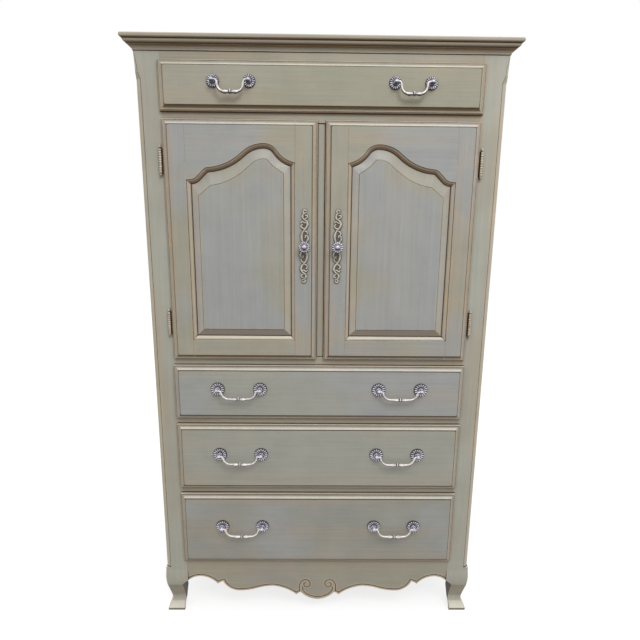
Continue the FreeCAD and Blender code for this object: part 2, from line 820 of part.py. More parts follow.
DRAWERS = ("drawer_1", "drawer_2", "drawer_3", "drawer_4")
runner_inner = opening_x - s.runner_width / 2
runners = []
for drawer in DRAWERS:
    start = s.apron_thickness if drawer == "drawer_4" else s.post_depth
    top = opening_bottom[drawer]
    for side, sign in (("left", -1), ("right", 1)):
        edges = (runner_inner * sign, (runner_inner + s.runner_width) * sign)
        wall = (opening_x * sign, (runner_inner + s.runner_width) * sign)
        if sign < 0:
            edges = edges[::-1]
            wall = wall[::-1]
        if drawer == "drawer_4":
            low_edge = (runner_inner * sign, opening_x * sign)
            nose_edges = low_edge[::-1] if sign < 0 else low_edge
            heights = (top - s.runner_height, top)
            nose = box(f"{drawer}_{side}_nose", nose_edges, (start, s.post_depth), heights)
            rest = box(f"{drawer}_{side}_bar", edges, (s.post_depth, rear_post_front), heights)
            runners.append(fused(f"{drawer}_{side}_runner", nose, rest))
        else:
            runners.append(
                box(f"{drawer}_{side}_runner", edges, (start, rear_post_front), (top - s.runner_height, top))
            )
        runners.append(
            box(f"{drawer}_{side}_guide", wall, (s.post_depth, rear_post_front), (top, top + s.guide_height))
        )
drawer_runners = group("drawer_runners", *runners)

# ------------------------------------------------------------- moulded fronts

ARC_SHARE = 1 - math.sqrt(0.5)
COVE_BEND = (0.62, 0.22)


def edge_profile(low, high, back):
    """Section of a moulded board from one edge to the other: (place, depth) with
    depth growing to the front. Each edge has a round nose, a step and a cove."""
    width = float(s.moulding_width)
    edge = float(s.edge_thickness)
    top = float(s.front_proud - s.field_step)
    nose = float(s.edge_nose)
    step = float(s.edge_step)
    foot = edge + float(s.step_rise)
    half = (
        (0.0, back),
        (0.0, edge - nose),
        ((nose * ARC_SHARE, edge - nose * ARC_SHARE), (nose, edge)),
        (step, edge),
        (step, foot),
        (
            (step + COVE_BEND[0] * (width - step), foot + COVE_BEND[1] * (top - foot)),
            (width - float(s.field_quirk), top),
        ),
        (width, top),
    )
    outline = [(low + half[0][0], half[0][1])]
    for entry in half[1:]:
        outline.append(shift_entry(entry, low))
    previous = half[-1]
    outline.append((high - previous[0], previous[1]))
    for index in range(len(half) - 1, 0, -1):
        outline.append(back_entry(half[index], half[index - 1], high))
    return outline


def shift_entry(entry, origin):
    """An outline entry moved to an edge of the board."""
    if isinstance(entry[0], tuple):
        through, end = entry
        return ((origin + through[0], through[1]), (origin + end[0], end[1]))
    return (origin + entry[0], entry[1])


def back_entry(entry, before, origin):
    """The same entry run backwards at the opposite edge."""
    end = before[1] if isinstance(before[0], tuple) else before
    if isinstance(entry[0], tuple):
        through = entry[0]
        return ((origin - through[0], through[1]), (origin - end[0], end[1]))
    return (origin - end[0], end[1])


def moulded_board(x0, x1, z0, z1, gap):
    """A board with a moulded edge all round, mitred, and a raised field."""
    across = front_face(edge_profile(x0, x1, gap))
    upright = front_face(edge_profile(z0, z1, gap))
    # depth is drawn upwards: turn it to the front (-Y)
    across.rotate(Vector(0, 0, 0), Vector(1, 0, 0), 90)
    across_solid = across.extrude(Vector(0, 0, z1 - z0))
    across_solid.translate(Vector(0, 0, z0))
    upright.rotate(Vector(0, 0, 0), Vector(1, 0, 0), 90)
    upright_solid = upright.extrude(Vector(0, 0, x1 - x0))
    upright_solid.rotate(Vector(0, 0, 0), Vector(0, 1, 0), -90)
    upright_solid.translate(Vector(x1, 0, 0))
    board = across_solid.common(upright_solid)
    inset = float(s.moulding_width)
    proud = float(s.front_proud)
    field = block(x0 + inset, x1 - inset, -proud, -proud + float(s.field_step), z0 + inset, z1 - inset)
    corners = [edge for edge in field.Edges if edge.BoundBox.YLength > float(s.field_step) - 0.01]
    field = field.makeFillet(float(s.field_corner), corners)
    return board.fuse(field).removeSplitter()


def bottom_groove(drawer, room):
    """The bottom of a drawer with its edges in the grooves, or the room around it."""
    half = float(opening_x - s.drawer_side_clearance - s.drawer_side_thickness / 2) + room
    front = float(s.rebate_depth) - float(s.drawer_side_thickness) / 2 - room
    low = float(opening_bottom[drawer] + s.drawer_run_gap + s.drawer_bottom_rise) - room
    thick = float(s.drawer_bottom_thickness) + 2 * room
    return block(-half, half, front, float(s.drawer_depth), low, low + thick)


# Width of a dovetail at its root as a share of the pitch, and its slope.
TAIL_SHARE = 0.5
TAIL_SLOPE = 0.2


def tails(drawer, room):
    """The dovetails at the front of the right drawer side, or the sockets around them."""
    outer = float(opening_x - s.drawer_side_clearance)
    thick = float(s.drawer_side_thickness)
    low = float(opening_bottom[drawer] + s.drawer_run_gap)
    high = float(opening_top[drawer] - s.drawer_head_room)
    root = float(s.rebate_depth)
    tip = root - float(s.tail_length) - room
    count = round((high - low) / float(s.tail_pitch))
    pitch = (high - low) / count
    pieces = []
    for index in range(count):
        middle = low + (index + 0.5) * pitch
        narrow = TAIL_SHARE * pitch / 2 + room
        wide = narrow + TAIL_SLOPE * (root - tip)
        face = Part.Face(Part.makePolygon([
            Vector(outer - thick - room, root, middle - narrow),
            Vector(outer - thick - room, tip, middle - wide),
            Vector(outer - thick - room, tip, middle + wide),
            Vector(outer - thick - room, root, middle + narrow),
            Vector(outer - thick - room, root, middle - narrow),
        ]))
        pieces.append(face.extrude(Vector(thick + 2 * room, 0, 0)))
    return pieces


def drawer_front(drawer):
    """The lipped and moulded front, grooved for the bottom and with sockets for the sides."""
    lip = float(opening_x + s.lip_overlap)
    gap = -float(s.drawer_lip_gap)
    z0 = float(lip_bottom[drawer])
    z1 = float(lip_top[drawer])
    board = moulded_board(-lip, lip, z0, z1, -gap)
    half = float(opening_x - s.rebate_clearance)
    low = float(opening_bottom[drawer] + s.rebate_clearance)
    high = float(opening_top[drawer] - s.rebate_clearance)
    inner = block(-half, half, gap, float(s.rebate_depth), low, high)
    whole = board.fuse(inner).removeSplitter()
    room = float(s.joint_clearance)
    sockets = tails(drawer, room)
    sockets.extend([mirrored(socket) for socket in sockets])
    return whole.cut([bottom_groove(drawer, room)] + sockets)


def drawer_box(drawer):
    """Two grooved sides with dovetails, and a back let into them."""
    outer = float(opening_x - s.drawer_side_clearance)
    thick = float(s.drawer_side_thickness)
    low = float(opening_bottom[drawer] + s.drawer_run_gap)
    high = float(opening_top[drawer] - s.drawer_head_room)
    start = float(s.rebate_depth)
    end = float(s.drawer_depth)
    room = float(s.joint_clearance)
    bottom_top = low + float(s.drawer_bottom_rise) + float(s.drawer_bottom_thickness)
    reach = outer - thick / 2
    back = block(-reach, reach, end - thick, end, bottom_top, high)
    seat = block(-reach - room, reach + room, end - thick - room, end + 1, bottom_top - room, high + 1)
    right = block(outer - thick, outer, start, end, low, high).fuse(tails(drawer, 0.0)).removeSplitter()
    right = right.cut([bottom_groove(drawer, room), seat])
    return Part.makeCompound([mirrored(right), right, back])


for drawer in DRAWERS:
    shaped(f"{drawer}_front", drawer_front(drawer))
    shaped(f"{drawer}_box", drawer_box(drawer))
    shaped(f"{drawer}_bottom", bottom_groove(drawer, 0.0))

def chain(steps, heading, scale=1.0):
    """Follow a chain of tangent steps from the origin: points, headings and, for arcs,
    mid points. A step is ("line", length), or ("left" or "right", radius, new heading in
    degrees)."""
    here = (0.0, 0.0)
    angle = math.radians(heading)
    stations = [(here, angle, None)]
    for step in steps:
        if step[0] == "line":
            length = step[1] * scale
            here = (here[0] + length * math.cos(angle), here[1] + length * math.sin(angle))
            stations.append((here, angle, None))
            continue
        side = 1 if step[0] == "left" else -1
        radius = step[1] * scale
        target = math.radians(step[2])
        centre = (here[0] - side * radius * math.sin(angle), here[1] + side * radius * math.cos(angle))
        half = (angle + target) / 2
        middle = (centre[0] + side * radius * math.sin(half), centre[1] - side * radius * math.cos(half))
        here = (centre[0] + side * radius * math.sin(target), centre[1] - side * radius * math.cos(target))
        angle = target
        stations.append((here, angle, (middle, half)))
    return stations


# ------------------------------------------------------------------ the pulls
# A pull: two rosettes with posts on the drawer, and a bail that swings in them.
# The bends of a bail have radii that are shares of its drop.

ROSETTE_PETALS = 16
NOTCH_PLACE = 1.01
NOTCH_SIZE = 0.08
BAIL_CORNER = 0.2
BAIL_BOW = 0.95
TOP_BAIL_BOW = 0.6
BAIL_SLOPE = math.radians(78)
LEAF_END = 0.9


def revolved(profile):
    """A solid turned about the Y axis: entries are (radius, distance to the front)."""
    face = front_face(profile)
    face.rotate(Vector(0, 0, 0), Vector(1, 0, 0), 90)
    return face.revolve(Vector(0, 0, 0), Vector(0, 1, 0), 360)


def dome(radius, low, top):
    """The arc of a dome from its rim to its crown on the axis."""
    rise = top - low
    sphere = (radius ** 2 + rise ** 2) / (2 * rise)
    half = math.asin(radius / sphere) / 2
    through = (sphere * math.sin(half), top - sphere + sphere * math.cos(half))
    return (through, (0.0, top))


def scalloped(piece, radius, count, low, high):
    """The piece with petals along its rim: a row of round notches between two depths."""
    notches = []
    for index in range(count):
        turn = 2 * math.pi * (index + 0.5) / count
        out = NOTCH_PLACE * radius
        foot = Vector(out * math.sin(turn), -high, out * math.cos(turn))
        notches.append(Part.makeCylinder(NOTCH_SIZE * radius, high - low, foot, Vector(0, 1, 0)))
    return piece.cut(notches)


def rosette(radius):
    """A petalled rosette with its post and the ball at its end."""
    thick = float(s.rosette_thickness)
    stem = float(s.pull_post_radius)
    reach = float(s.post_reach)
    eye = float(s.eye_radius)
    profile = (
        (0.0, 0.0),
        (radius, 0.0),
        (radius, 0.18 * thick),
        ((0.80 * radius, 0.70 * thick), (0.42 * radius, thick)),
        (stem, thick),
        (stem, reach),
        (0.0, reach),
    )
    turned = scalloped(revolved(profile), radius, ROSETTE_PETALS, -1, thick)
    ball = Part.makeSphere(eye, Vector(0, -reach, 0))
    turned = turned.fuse(ball).removeSplitter()
    turned.translate(Vector(0, -float(s.front_proud), 0))
    return turned


def bail(spacing, drop, bow):
    """The swinging handle: pivots, a corner and a bow on each side, a ring between two leaves."""
    rod = float(s.bail_radius)
    half = spacing / 2
    shoulder = half - float(s.eye_radius + s.bail_side_gap)
    corner = BAIL_CORNER * drop
    down = 1 - math.cos(BAIL_SLOPE)
    straight = (drop - (corner + bow) * down) / math.sin(BAIL_SLOPE)
    first = chain((
        ("line", rod / 2), ("right", corner, -math.degrees(BAIL_SLOPE)),
        ("line", straight), ("left", bow, 0.0),
    ), 0.0)
    edges = []
    for (before, _, _), (point, _, bend) in zip(first, first[1:]):
        ends = [at((x - shoulder, z)) for x, z in (before, point)]
        if bend is None:
            edges.append(Part.makeLine(*ends))
        else:
            edges.append(Part.Arc(ends[0], at((bend[0][0] - shoulder, bend[0][1])), ends[1]).toShape())
    edges.append(Part.makeLine(edges[-1].Vertexes[-1].Point, at((0.0, -drop))))
    section = Part.Wire(Part.makeCircle(rod, at((-shoulder, 0.0)), Vector(1, 0, 0)))
    handle = Part.Wire(edges).makePipeShell([section], True, False)
    pin_length = half - shoulder + rod / 2
    pin = Part.makeCylinder(float(s.bail_pivot_radius), pin_length, at((-half, 0.0)), Vector(1, 0, 0))
    wide = float(s.bail_ring_width) / 2
    ring = Part.makeCylinder(float(s.bail_ring_radius), wide, at((-wide, -drop)), Vector(1, 0, 0))
    far = wide + float(s.bail_leaf_length)
    swelling = (-(wide + far) / 2, float(s.bail_leaf_radius))
    leaf = front_face([
        (-far, 0.0), (-far, LEAF_END * rod), (swelling, (-wide, LEAF_END * rod)), (-wide, 0.0),
    ]).revolve(Vector(0, 0, 0), Vector(1, 0, 0), 360)
    leaf.translate(at((0.0, -drop)))
    handle = handle.fuse([pin, ring, leaf])
    whole = handle.fuse(mirrored(handle)).removeSplitter()
    whole.translate(Vector(0, -float(s.front_proud + s.post_reach), 0))
    return whole


def pull_bores(spacing):
    """The holes in the eyes of both posts, seen from between them."""
    room = float(s.bail_pivot_radius + s.pin_clearance)
    half = spacing / 2
    inside = half + float(s.eye_radius) * 0.5
    return Part.makeCylinder(room, 2 * inside, Vector(-inside, 0, 0), Vector(1, 0, 0))


for drawer in DRAWERS:
    small = drawer == "drawer_1"
    spacing = float(s.top_pull_spacing if small else s.pull_spacing)
    radius = float(s.top_rosette_radius if small else s.rosette_radius)
    drop = float(s.top_bail_drop if small else s.bail_drop)
    bow = drop * (TOP_BAIL_BOW if small else BAIL_BOW)
    rise = float(s.top_pull_rise if small else s.pull_rise)
    height = (float(lip_bottom[drawer]) + float(lip_top[drawer])) / 2 + rise
    bores = pull_bores(spacing)
    bores.translate(Vector(0, -float(s.front_proud + s.post_reach), 0))
    flowers = []
    for end in (-spacing / 2, spacing / 2):
        flower = rosette(radius)
        flower.translate(Vector(end, 0, 0))
        flowers.append(flower.cut(bores))
    rosettes = []
    for side, sign in (("left", -1), ("right", 1)):
        middle = Vector(sign * float(s.pull_offset), 0, height)
        for flower in flowers:
            piece = flower.copy()
            piece.translate(middle)
            rosettes.append(piece)
        handle = bail(spacing, drop, bow)
        handle.translate(middle)
        shaped(f"{drawer}_bail_{side}", handle)
    shaped(f"{drawer}_rosettes", Part.makeCompound(rosettes))

# ------------------------------------------------------------------ the doors
# The left door is drawn and the right one mirrors it. The heads of the panel
# opening and of the raised field are chains of tangent lines and arcs, whose end
# lines are longer than the moulding is wide, so that they can be drawn inside it.

ARCH = (
    ("line", 14.0),
    ("left", 25.0, 45.0),
    ("line", 28.0),
    ("right", 22.0, 4.0),
    ("left", 155.0, 40.0),
    ("line", 12.0),
    ("right", 95.0, 0.0),
    ("right", 45.0, -55.0),
    ("left", 76.0, -19.0),
    ("line", 14.0),
)
ARCH_HEADING = 6.0
FIELD = (
    ("line", 4.0),
    ("left", 60.0, 40.0),
    ("line", 27.0),
    ("right", 8.0, 8.0),
    ("left", 165.0, 40.0),
    ("line", 28.0),
    ("right", 45.0, 0.0),
    ("right", 12.0, -52.0),
    ("left", 80.0, -34.0),
    ("line", 24.0),
)
FIELD_HEADING = 34.0


def offset_point(point, heading, distance):
    """A point moved to the left of its heading."""
    return (point[0] - distance * math.sin(heading), point[1] + distance * math.cos(heading))


class PanelOutline:
    """A closed outline with straight sides and foot and a chain as its head. It can be
    drawn at any small offset, outwards positive, with the same number of edges."""

    def __init__(self, steps, heading, left, right, bottom, crest):
        self.left, self.right, self.bottom = left, right, bottom
        natural = chain(steps, heading)[-1][0][0]
        self.stations = chain(steps, heading, (right - left) / natural)
        rise = max(point[1] for point, _, _ in self.stations)
        self.start = (left, crest - rise)

    def station(self, index, offset):
        point, heading, _ = self.stations[index]
        placed = (point[0] + self.start[0], point[1] + self.start[1])
        return offset_point(placed, heading, offset)

    def corner(self, offset, at_left):
        """Where the head meets a side."""
        index = 0 if at_left else -1
        heading = self.stations[index][1]
        edge = self.left - offset if at_left else self.right + offset
        point = self.station(index, offset)
        along = (edge - point[0]) / math.cos(heading)
        return (edge, point[1] + along * math.sin(heading))

    def wire(self, offset, y):
        left_foot = (self.left - offset, self.bottom - offset)
        right_foot = (self.right + offset, self.bottom - offset)
        here = self.corner(offset, True)
        edges = [Part.makeLine(at(left_foot, y), at(here, y))]
        last = len(self.stations) - 1
        for index in range(1, last + 1):
            end = self.corner(offset, False) if index == last else self.station(index, offset)
            bend = self.stations[index][2]
            if bend is None:
                edges.append(Part.makeLine(at(here, y), at(end, y)))
            else:
                middle, heading = bend
                placed = (middle[0] + self.start[0], middle[1] + self.start[1])
                through = offset_point(placed, heading, offset)
                edges.append(Part.Arc(at(here, y), at(through, y), at(end, y)).toShape())
            here = end
        edges.append(Part.makeLine(at(here, y), at(right_foot, y)))
        edges.append(Part.makeLine(at(right_foot, y), at(left_foot, y)))
        return Part.Wire(edges)

    def solid(self, offset, y0, y1):
        return Part.Face(self.wire(offset, y0)).extrude(Vector(0, y1 - y0, 0))


door_outer = -float(opening_x + s.door_side_lip)
door_inner = -float(s.door_gap) / 2
door_low = float(lip_bottom["door"])
door_high = float(lip_top["door"])
stile = float(s.stile_width)
panel_opening = PanelOutline(
    ARCH, ARCH_HEADING, door_outer + stile, door_inner - stile, door_low + stile, door_high - stile
)
inset = float(s.field_inset)
panel_field = PanelOutline(
    FIELD, FIELD_HEADING, panel_opening.left + inset, panel_opening.right - inset,
    panel_opening.bottom + inset, door_high - stile - float(s.field_drop),
)

# The moulding around the panel: (share of its width, share of its depth).
STICKING = ((0.0, -0.05), (0.07, 0.17), (0.45, 0.30), (0.78, 0.58), (1.0, 1.0))


def frame_cutter():
    """The panel opening with its moulding and the groove for the panel's edge."""
    face = -float(s.front_proud)
    wide = float(s.sticking_width)
    deep = float(s.sticking_depth)
    wires = [panel_opening.wire(-across * wide, face + down * deep) for across, down in STICKING]
    wires.append(panel_opening.wire(-wide, float(s.rebate_depth) + 1))
    cutter = Part.makeLoft(wires, True, True)
    room = float(s.joint_clearance)
    back = float(s.panel_back)
    tongue = float(s.panel_tongue) - wide + room
    groove = panel_opening.solid(tongue, back - float(s.panel_edge_thickness) - room, back + room)
    return cutter.fuse(groove)


def stile_region(at_left):
    """The part of the door that its outer or inner stile takes: mitred at the moulding.
    The mitres lie a hair off the corners of the moulding, so that the cut is clean."""
    ease = 0.05
    wide = -float(s.sticking_width) - 1.0
    deep = 2 * float(s.front_proud)
    out = -1 if at_left else 1
    edge = panel_opening.left if at_left else panel_opening.right
    far = edge + out * (stile + 5)
    foot = panel_opening.bottom + ease
    corner = panel_opening.corner(0.0, at_left)
    inner_corner = panel_opening.corner(wide, at_left)
    points = [
        (far, door_low - 5), (edge, door_low - 5), (edge, foot), (edge + out * wide, foot - wide),
        (inner_corner[0], inner_corner[1] - ease), (edge, corner[1] - ease), (edge, door_high + 5),
        (far, door_high + 5),
    ]
    return prism(front_face(points), -deep, deep)


def door_tenon(at_left, low, high, room):
    """A tenon of a door rail in its stile, or the mortise around it."""
    thick = float(s.panel_edge_thickness)
    back = float(s.panel_back)
    reach = float(s.door_tenon_length)
    edge = panel_opening.left if at_left else panel_opening.right
    x0, x1 = (edge - reach - room, edge) if at_left else (edge, edge + reach + room)
    return block(x0, x1, back - thick - room, back + room, low - room, high + room)


def door_pieces():
    """Stiles, rails and panel of the left door."""
    slab = moulded_board(door_outer, door_inner, door_low, door_high, float(s.door_lip_gap))
    side = -float(opening_x - s.rebate_clearance)
    low = float(opening_bottom["door"] + s.rebate_clearance)
    high = float(opening_top["door"] - s.rebate_clearance)
    rear = block(side, door_inner, -float(s.door_lip_gap), float(s.rebate_depth), low, high)
    frame = slab.fuse(rear).removeSplitter().cut(frame_cutter())
    regions = [stile_region(True), stile_region(False)]
    stiles = [frame.common(region) for region in regions]
    rails = sorted(frame.cut(regions[0]).cut(regions[1]).Solids, key=lambda solid: solid.CenterOfMass.z)
    bottom_rail, door_top_rail = rails[0], rails[-1]
    shoulder = float(s.door_tenon_shoulder)
    spans = (
        (low + shoulder, panel_opening.bottom - shoulder),
        (panel_opening.corner(0.0, False)[1] + shoulder, high - shoulder),
    )
    room = float(s.joint_clearance)
    for at_left, index in ((True, 0), (False, 1)):
        for span in spans:
            stiles[index] = stiles[index].cut(door_tenon(at_left, *span, room))
        bottom_rail = bottom_rail.fuse(door_tenon(at_left, *spans[0], 0.0))
        door_top_rail = door_top_rail.fuse(door_tenon(at_left, *spans[1], 0.0))
    return stiles, bottom_rail.removeSplitter(), door_top_rail.removeSplitter()


def raised_panel():
    """The panel: an edge in the groove, a bevel and a raised field."""
    wide = float(s.sticking_width)
    back = float(s.panel_back)
    edge_front = back - float(s.panel_edge_thickness)
    rim = -wide - float(s.panel_play)
    base = edge_front - float(s.bevel_foot)
    top = base - float(s.bevel_rise)
    plate = panel_opening.solid(float(s.panel_tongue) - wide, edge_front, back)
    riser = panel_opening.solid(rim, base, edge_front)
    bevel = Part.makeLoft([panel_opening.wire(rim, base), panel_field.wire(0.0, top)], True, True)
    field = panel_field.solid(-float(s.field_ease), top - float(s.field_step), top)
    return plate.fuse([riser, bevel, field]).removeSplitter()


stiles, bottom_rail, door_top_rail = door_pieces()
panel = raised_panel()


def centre_strip():
    """The strip that closes the gap between the doors, fixed behind the left one."""
    left = door_inner - float(s.strip_overlap)
    right = -door_inner - float(s.strip_clearance)
    back = float(s.rebate_depth)
    low = float(opening_bottom["door"] + s.rebate_clearance)
    high = float(opening_top["door"] - s.rebate_clearance)
    face = block(door_inner, right, float(s.strip_setback), back, low, high)
    tail = block(left, right, back, back + float(s.strip_thickness), low, high)
    return face.fuse(tail).removeSplitter()


# Scrolled plate: curves of the upper half, each with its width and the points it runs
# through, in shares of half the length; the lower half is the same, turned half a turn.
SCROLLS = (
    (0.056, (
        (0.000, 0.060), (-0.062, 0.180), (-0.070, 0.320), (-0.010, 0.440), (0.065, 0.530), (0.085, 0.620),
        (0.035, 0.700), (-0.030, 0.745), (-0.048, 0.815), (-0.010, 0.880), (0.040, 0.900),
    )),
    (0.042, ((0.010, 0.742), (0.080, 0.785), (0.035, 0.835))),
    (0.044, ((-0.010, 0.880), (-0.026, 0.945), (0.035, 0.965))),
    (0.044, ((0.060, 0.645), (0.030, 0.635), (0.000, 0.645), (-0.040, 0.670), (-0.080, 0.645))),
    (0.048, ((0.010, 0.475), (-0.072, 0.515), (-0.065, 0.585))),
    (0.050, ((0.035, 0.100), (0.095, 0.175), (0.097, 0.265), (0.052, 0.298), (0.030, 0.255))),
    (0.044, ((0.000, 0.430), (0.060, 0.402), (0.085, 0.350))),
)
BOSS_SHARE = 0.105
JOINT_SHARE = 1.06
CURL_SHARE = 1.35


def band(start, through, end, half, thickness):
    """A flat band of twice the given half width along an arc."""
    arc = Part.Arc(start, through, end).toShape()
    middle = arc.Curve.Center
    radius = arc.Curve.Radius
    inner, outer = (
        Part.Arc(*(middle + (point - middle) * (edge / radius) for point in (start, through, end))).toShape()
        for edge in (radius - half, radius + half)
    )
    ends = [Part.makeLine(inner.Vertexes[i].Point, outer.Vertexes[i].Point) for i in (0, 1)]
    return Part.Face(Part.Wire(Part.__sortEdges__([inner, outer] + ends))).extrude(Vector(0, 0, thickness))


def scroll(width, points, scale, thickness):
    """A curve as a row of bands with round joints, curled up to a larger disc at its end."""
    half = width * scale / 2
    knots = [Vector(across * scale, up * scale, 0) for across, up in points]
    pieces = []
    for index in range(0, len(knots) - 2, 2):
        pieces.append(band(*knots[index:index + 3], half, thickness))
        pieces.append(Part.makeCylinder(half * JOINT_SHARE, thickness, knots[index]))
    pieces.append(Part.makeCylinder(half * CURL_SHARE, thickness, knots[-1]))
    return pieces


def escutcheon():
    """The pierced scroll plate behind a knob, centred on the knob."""
    scale = float(s.escutcheon_length) / 2
    thickness = float(s.escutcheon_thickness)
    scrolls = []
    for width, points in SCROLLS:
        scrolls.extend(scroll(width, points, scale, thickness))
    half = Part.makeCylinder(BOSS_SHARE * scale, thickness).fuse(scrolls).removeSplitter()
    turned = half.copy()
    turned.rotate(Vector(0, 0, 0), Vector(0, 0, 1), 180)
    whole = half.fuse(turned).removeSplitter()
    whole.rotate(Vector(0, 0, 0), Vector(1, 0, 0), 90)
    return whole


KNOB_PETALS = 14


def knob():
    """The petalled knob with its collar."""
    radius = float(s.knob_radius)
    reach = float(s.knob_reach)
    back = float(s.escutcheon_thickness)
    turned = revolved((
        (0.0, back),
        (0.52 * radius, back),
        (0.52 * radius, 0.16 * reach),
        (0.34 * radius, 0.22 * reach),
        (0.34 * radius, 0.42 * reach),
        ((0.86 * radius, 0.48 * reach), (radius, 0.66 * reach)),
        ((0.97 * radius, 0.76 * reach), (0.82 * radius, 0.84 * reach)),
        dome(0.82 * radius, 0.84 * reach, reach),
    ))
    return scalloped(turned, radius, KNOB_PETALS, 0.45 * reach, 0.90 * reach)


knob_x = float(s.knob_offset)
knob_z = (door_low + door_high) / 2 - float(s.knob_drop)
plate = escutcheon()
turned_knob = knob()

# ------------------------------------------------------------------ the hinges

hinge_x = -float(opening_x + s.hinge_axis_out)
hinge_y = -float(s.hinge_axis_front)
hinge_heights = (door_low + float(s.hinge_inset), door_high - float(s.hinge_inset))
KNUCKLES = 5
BEADS = 2
BEAD_NECK = 0.84


def knuckle_spans(parity):
    """Heights of every other knuckle, from the middle of the hinge."""
    whole = float(s.hinge_length)
    step = whole / KNUCKLES
    gap = float(s.knuckle_gap) / 2
    spans = []
    for index in range(parity, KNUCKLES, 2):
        low = -whole / 2 + index * step
        spans.append((low + gap, low + step - gap))
    return spans


def case_leaf():
    """The leaf on the left post: three knuckles, a plate on the face and one inside."""
    leaf = float(s.leaf_thickness)
    edge = -float(opening_x)
    half = float(s.hinge_length) / 2
    pieces = []
    for low, high in knuckle_spans(0):
        pieces.append(knuckle(low, high))
        pieces.append(web(0, low, high))
        pieces.append(block(hinge_x, edge + leaf, -leaf, 0, low, high))
    pieces.append(block(edge, edge + leaf, 0, float(s.leaf_length), -half, half))
    return bored(pieces)


def door_leaf():
    """The leaf on the left door: two knuckles and a plate wrapped round its rebate."""
    leaf = float(s.leaf_thickness)
    side = -float(opening_x - s.rebate_clearance)
    face = -float(s.door_lip_gap)
    back = float(s.rebate_depth)
    half = float(s.hinge_length) / 2
    pieces = []
    for low, high in knuckle_spans(1):
        pieces.append(knuckle(low, high))
        pieces.append(web(face + leaf, low, high))
        pieces.append(block(hinge_x, side, face, face + leaf, low, high))
        pieces.append(block(side - leaf, side, face, back + leaf, low, high))
    pieces.append(block(side - leaf, side + float(s.leaf_length), back, back + leaf, -half, half))
    return bored(pieces)


def knuckle(low, high):
    """A knuckle turned as a row of beads."""
    wide = float(s.knuckle_radius)
    neck = BEAD_NECK * wide
    step = (high - low) / BEADS
    outline = [(0.0, low), (neck, low)]
    for bead in range(BEADS):
        start = low + bead * step
        outline.append(((wide, start + step / 2), (neck, start + step)))
    outline.append((0.0, high))
    turned = front_face(outline).revolve(Vector(0, 0, 0), Vector(0, 0, 1), 360)
    turned.translate(Vector(hinge_x, hinge_y, 0))
    return turned


def web(back, low, high):
    """The bridge from a knuckle to its leaf."""
    half = float(s.web_thickness) / 2
    return block(hinge_x - half, hinge_x + half, hinge_y, back, low, high)


def bored(pieces):
    """Pieces joined into one leaf, with the hole for the pin."""
    whole = pieces[0].fuse(pieces[1:]).removeSplitter()
    half = float(s.hinge_length) / 2
    radius = float(s.hinge_pin_radius + s.pin_clearance)
    hole = Part.makeCylinder(radius, 2 * half + 2, Vector(hinge_x, hinge_y, -half - 1))
    return whole.cut(hole)


def hinge_pin():
    """The pin with a turned finial at each end."""
    half = float(s.hinge_length) / 2
    tall = float(s.finial_height)
    wide = float(s.knuckle_radius)
    face = front_face((
        (0.0, 0.0),
        (0.90 * wide, 0.0),
        (0.90 * wide, 0.10 * tall),
        (0.50 * wide, 0.20 * tall),
        ((0.85 * wide, 0.42 * tall), (0.50 * wide, 0.68 * tall)),
        dome(0.50 * wide, 0.68 * tall, tall),
    ))
    finial = face.revolve(Vector(0, 0, 0), Vector(0, 0, 1), 360)
    finial.translate(Vector(0, 0, half))
    lower = finial.copy()
    lower.rotate(Vector(0, 0, 0), Vector(1, 0, 0), 180)
    pin = Part.makeCylinder(float(s.hinge_pin_radius), 2 * half, Vector(0, 0, -half))
    pin = pin.fuse([finial, lower])
    pin.translate(Vector(hinge_x, hinge_y, 0))
    return pin


def at_hinges(piece):
    """Copies of a hinge piece at both hinge heights of the left door."""
    copies = []
    for height in hinge_heights:
        copy = piece.copy()
        copy.translate(Vector(0, 0, height))
        copies.append(copy)
    return copies


shaped("hinge_case_leaves", both_sides(at_hinges(case_leaf())))
shaped("hinge_pins", both_sides(at_hinges(hinge_pin())))
left_leaves = at_hinges(door_leaf())

for side, turn in (("left", lambda shape: shape), ("right", mirrored)):
    sign = -1 if side == "left" else 1
    name = f"{side}_door"
    face_y = -float(s.front_proud)
    shaped(f"{name}_stiles", Part.makeCompound([turn(piece) for piece in stiles]))
    shaped(f"{name}_top_rail", turn(door_top_rail))
    shaped(f"{name}_bottom_rail", turn(bottom_rail))
    shaped(f"{name}_panel", turn(panel))
    shaped(f"{name}_hinge_leaves", Part.makeCompound([turn(piece) for piece in left_leaves]))
    trim = plate.copy()
    trim.translate(Vector(sign * knob_x, face_y, knob_z))
    shaped(f"{name}_escutcheon", trim)
    handle = turned_knob.copy()
    handle.translate(Vector(sign * knob_x, face_y, knob_z))
    shaped(f"{name}_knob", handle)
shaped("centre_strip", centre_strip())

# ------------------------------------------------------------------- catches

catches = []
catch_half = float(s.catch_width) / 2
catch_front = float(s.rebate_depth + s.catch_gap)
catch_top = float(opening_top["door"])
for side in (-1, 1):
    x = side * float(s.catch_offset)
    catches.append(block(
        x - catch_half, x + catch_half, catch_front, catch_front + float(s.catch_depth),
        catch_top - float(s.catch_height), catch_top,
    ))
shaped("door_catches", Part.makeCompound(catches))

# ------------------------------------------------------------ check and write

NODES = [
    "front_post_left", "front_post_right", "rear_posts", "top_rail", "door_rails", "drawer_rails",
    "apron", "side_rails", "side_panels", "back_panel", "tv_deck", "dust_panels",
    "adjustable_shelf", "shelf_pins", "top_board", "cornice", "drawer_runners",
    "hinge_case_leaves", "hinge_pins", "door_catches", "centre_strip",
]
for side in ("left", "right"):
    for piece in ("stiles", "top_rail", "bottom_rail", "panel", "hinge_leaves", "escutcheon", "knob"):
        NODES.append(f"{side}_door_{piece}")
for drawer in DRAWERS:
    for piece in ("front", "box", "bottom", "rosettes", "bail_left", "bail_right"):
        NODES.append(f"{drawer}_{piece}")

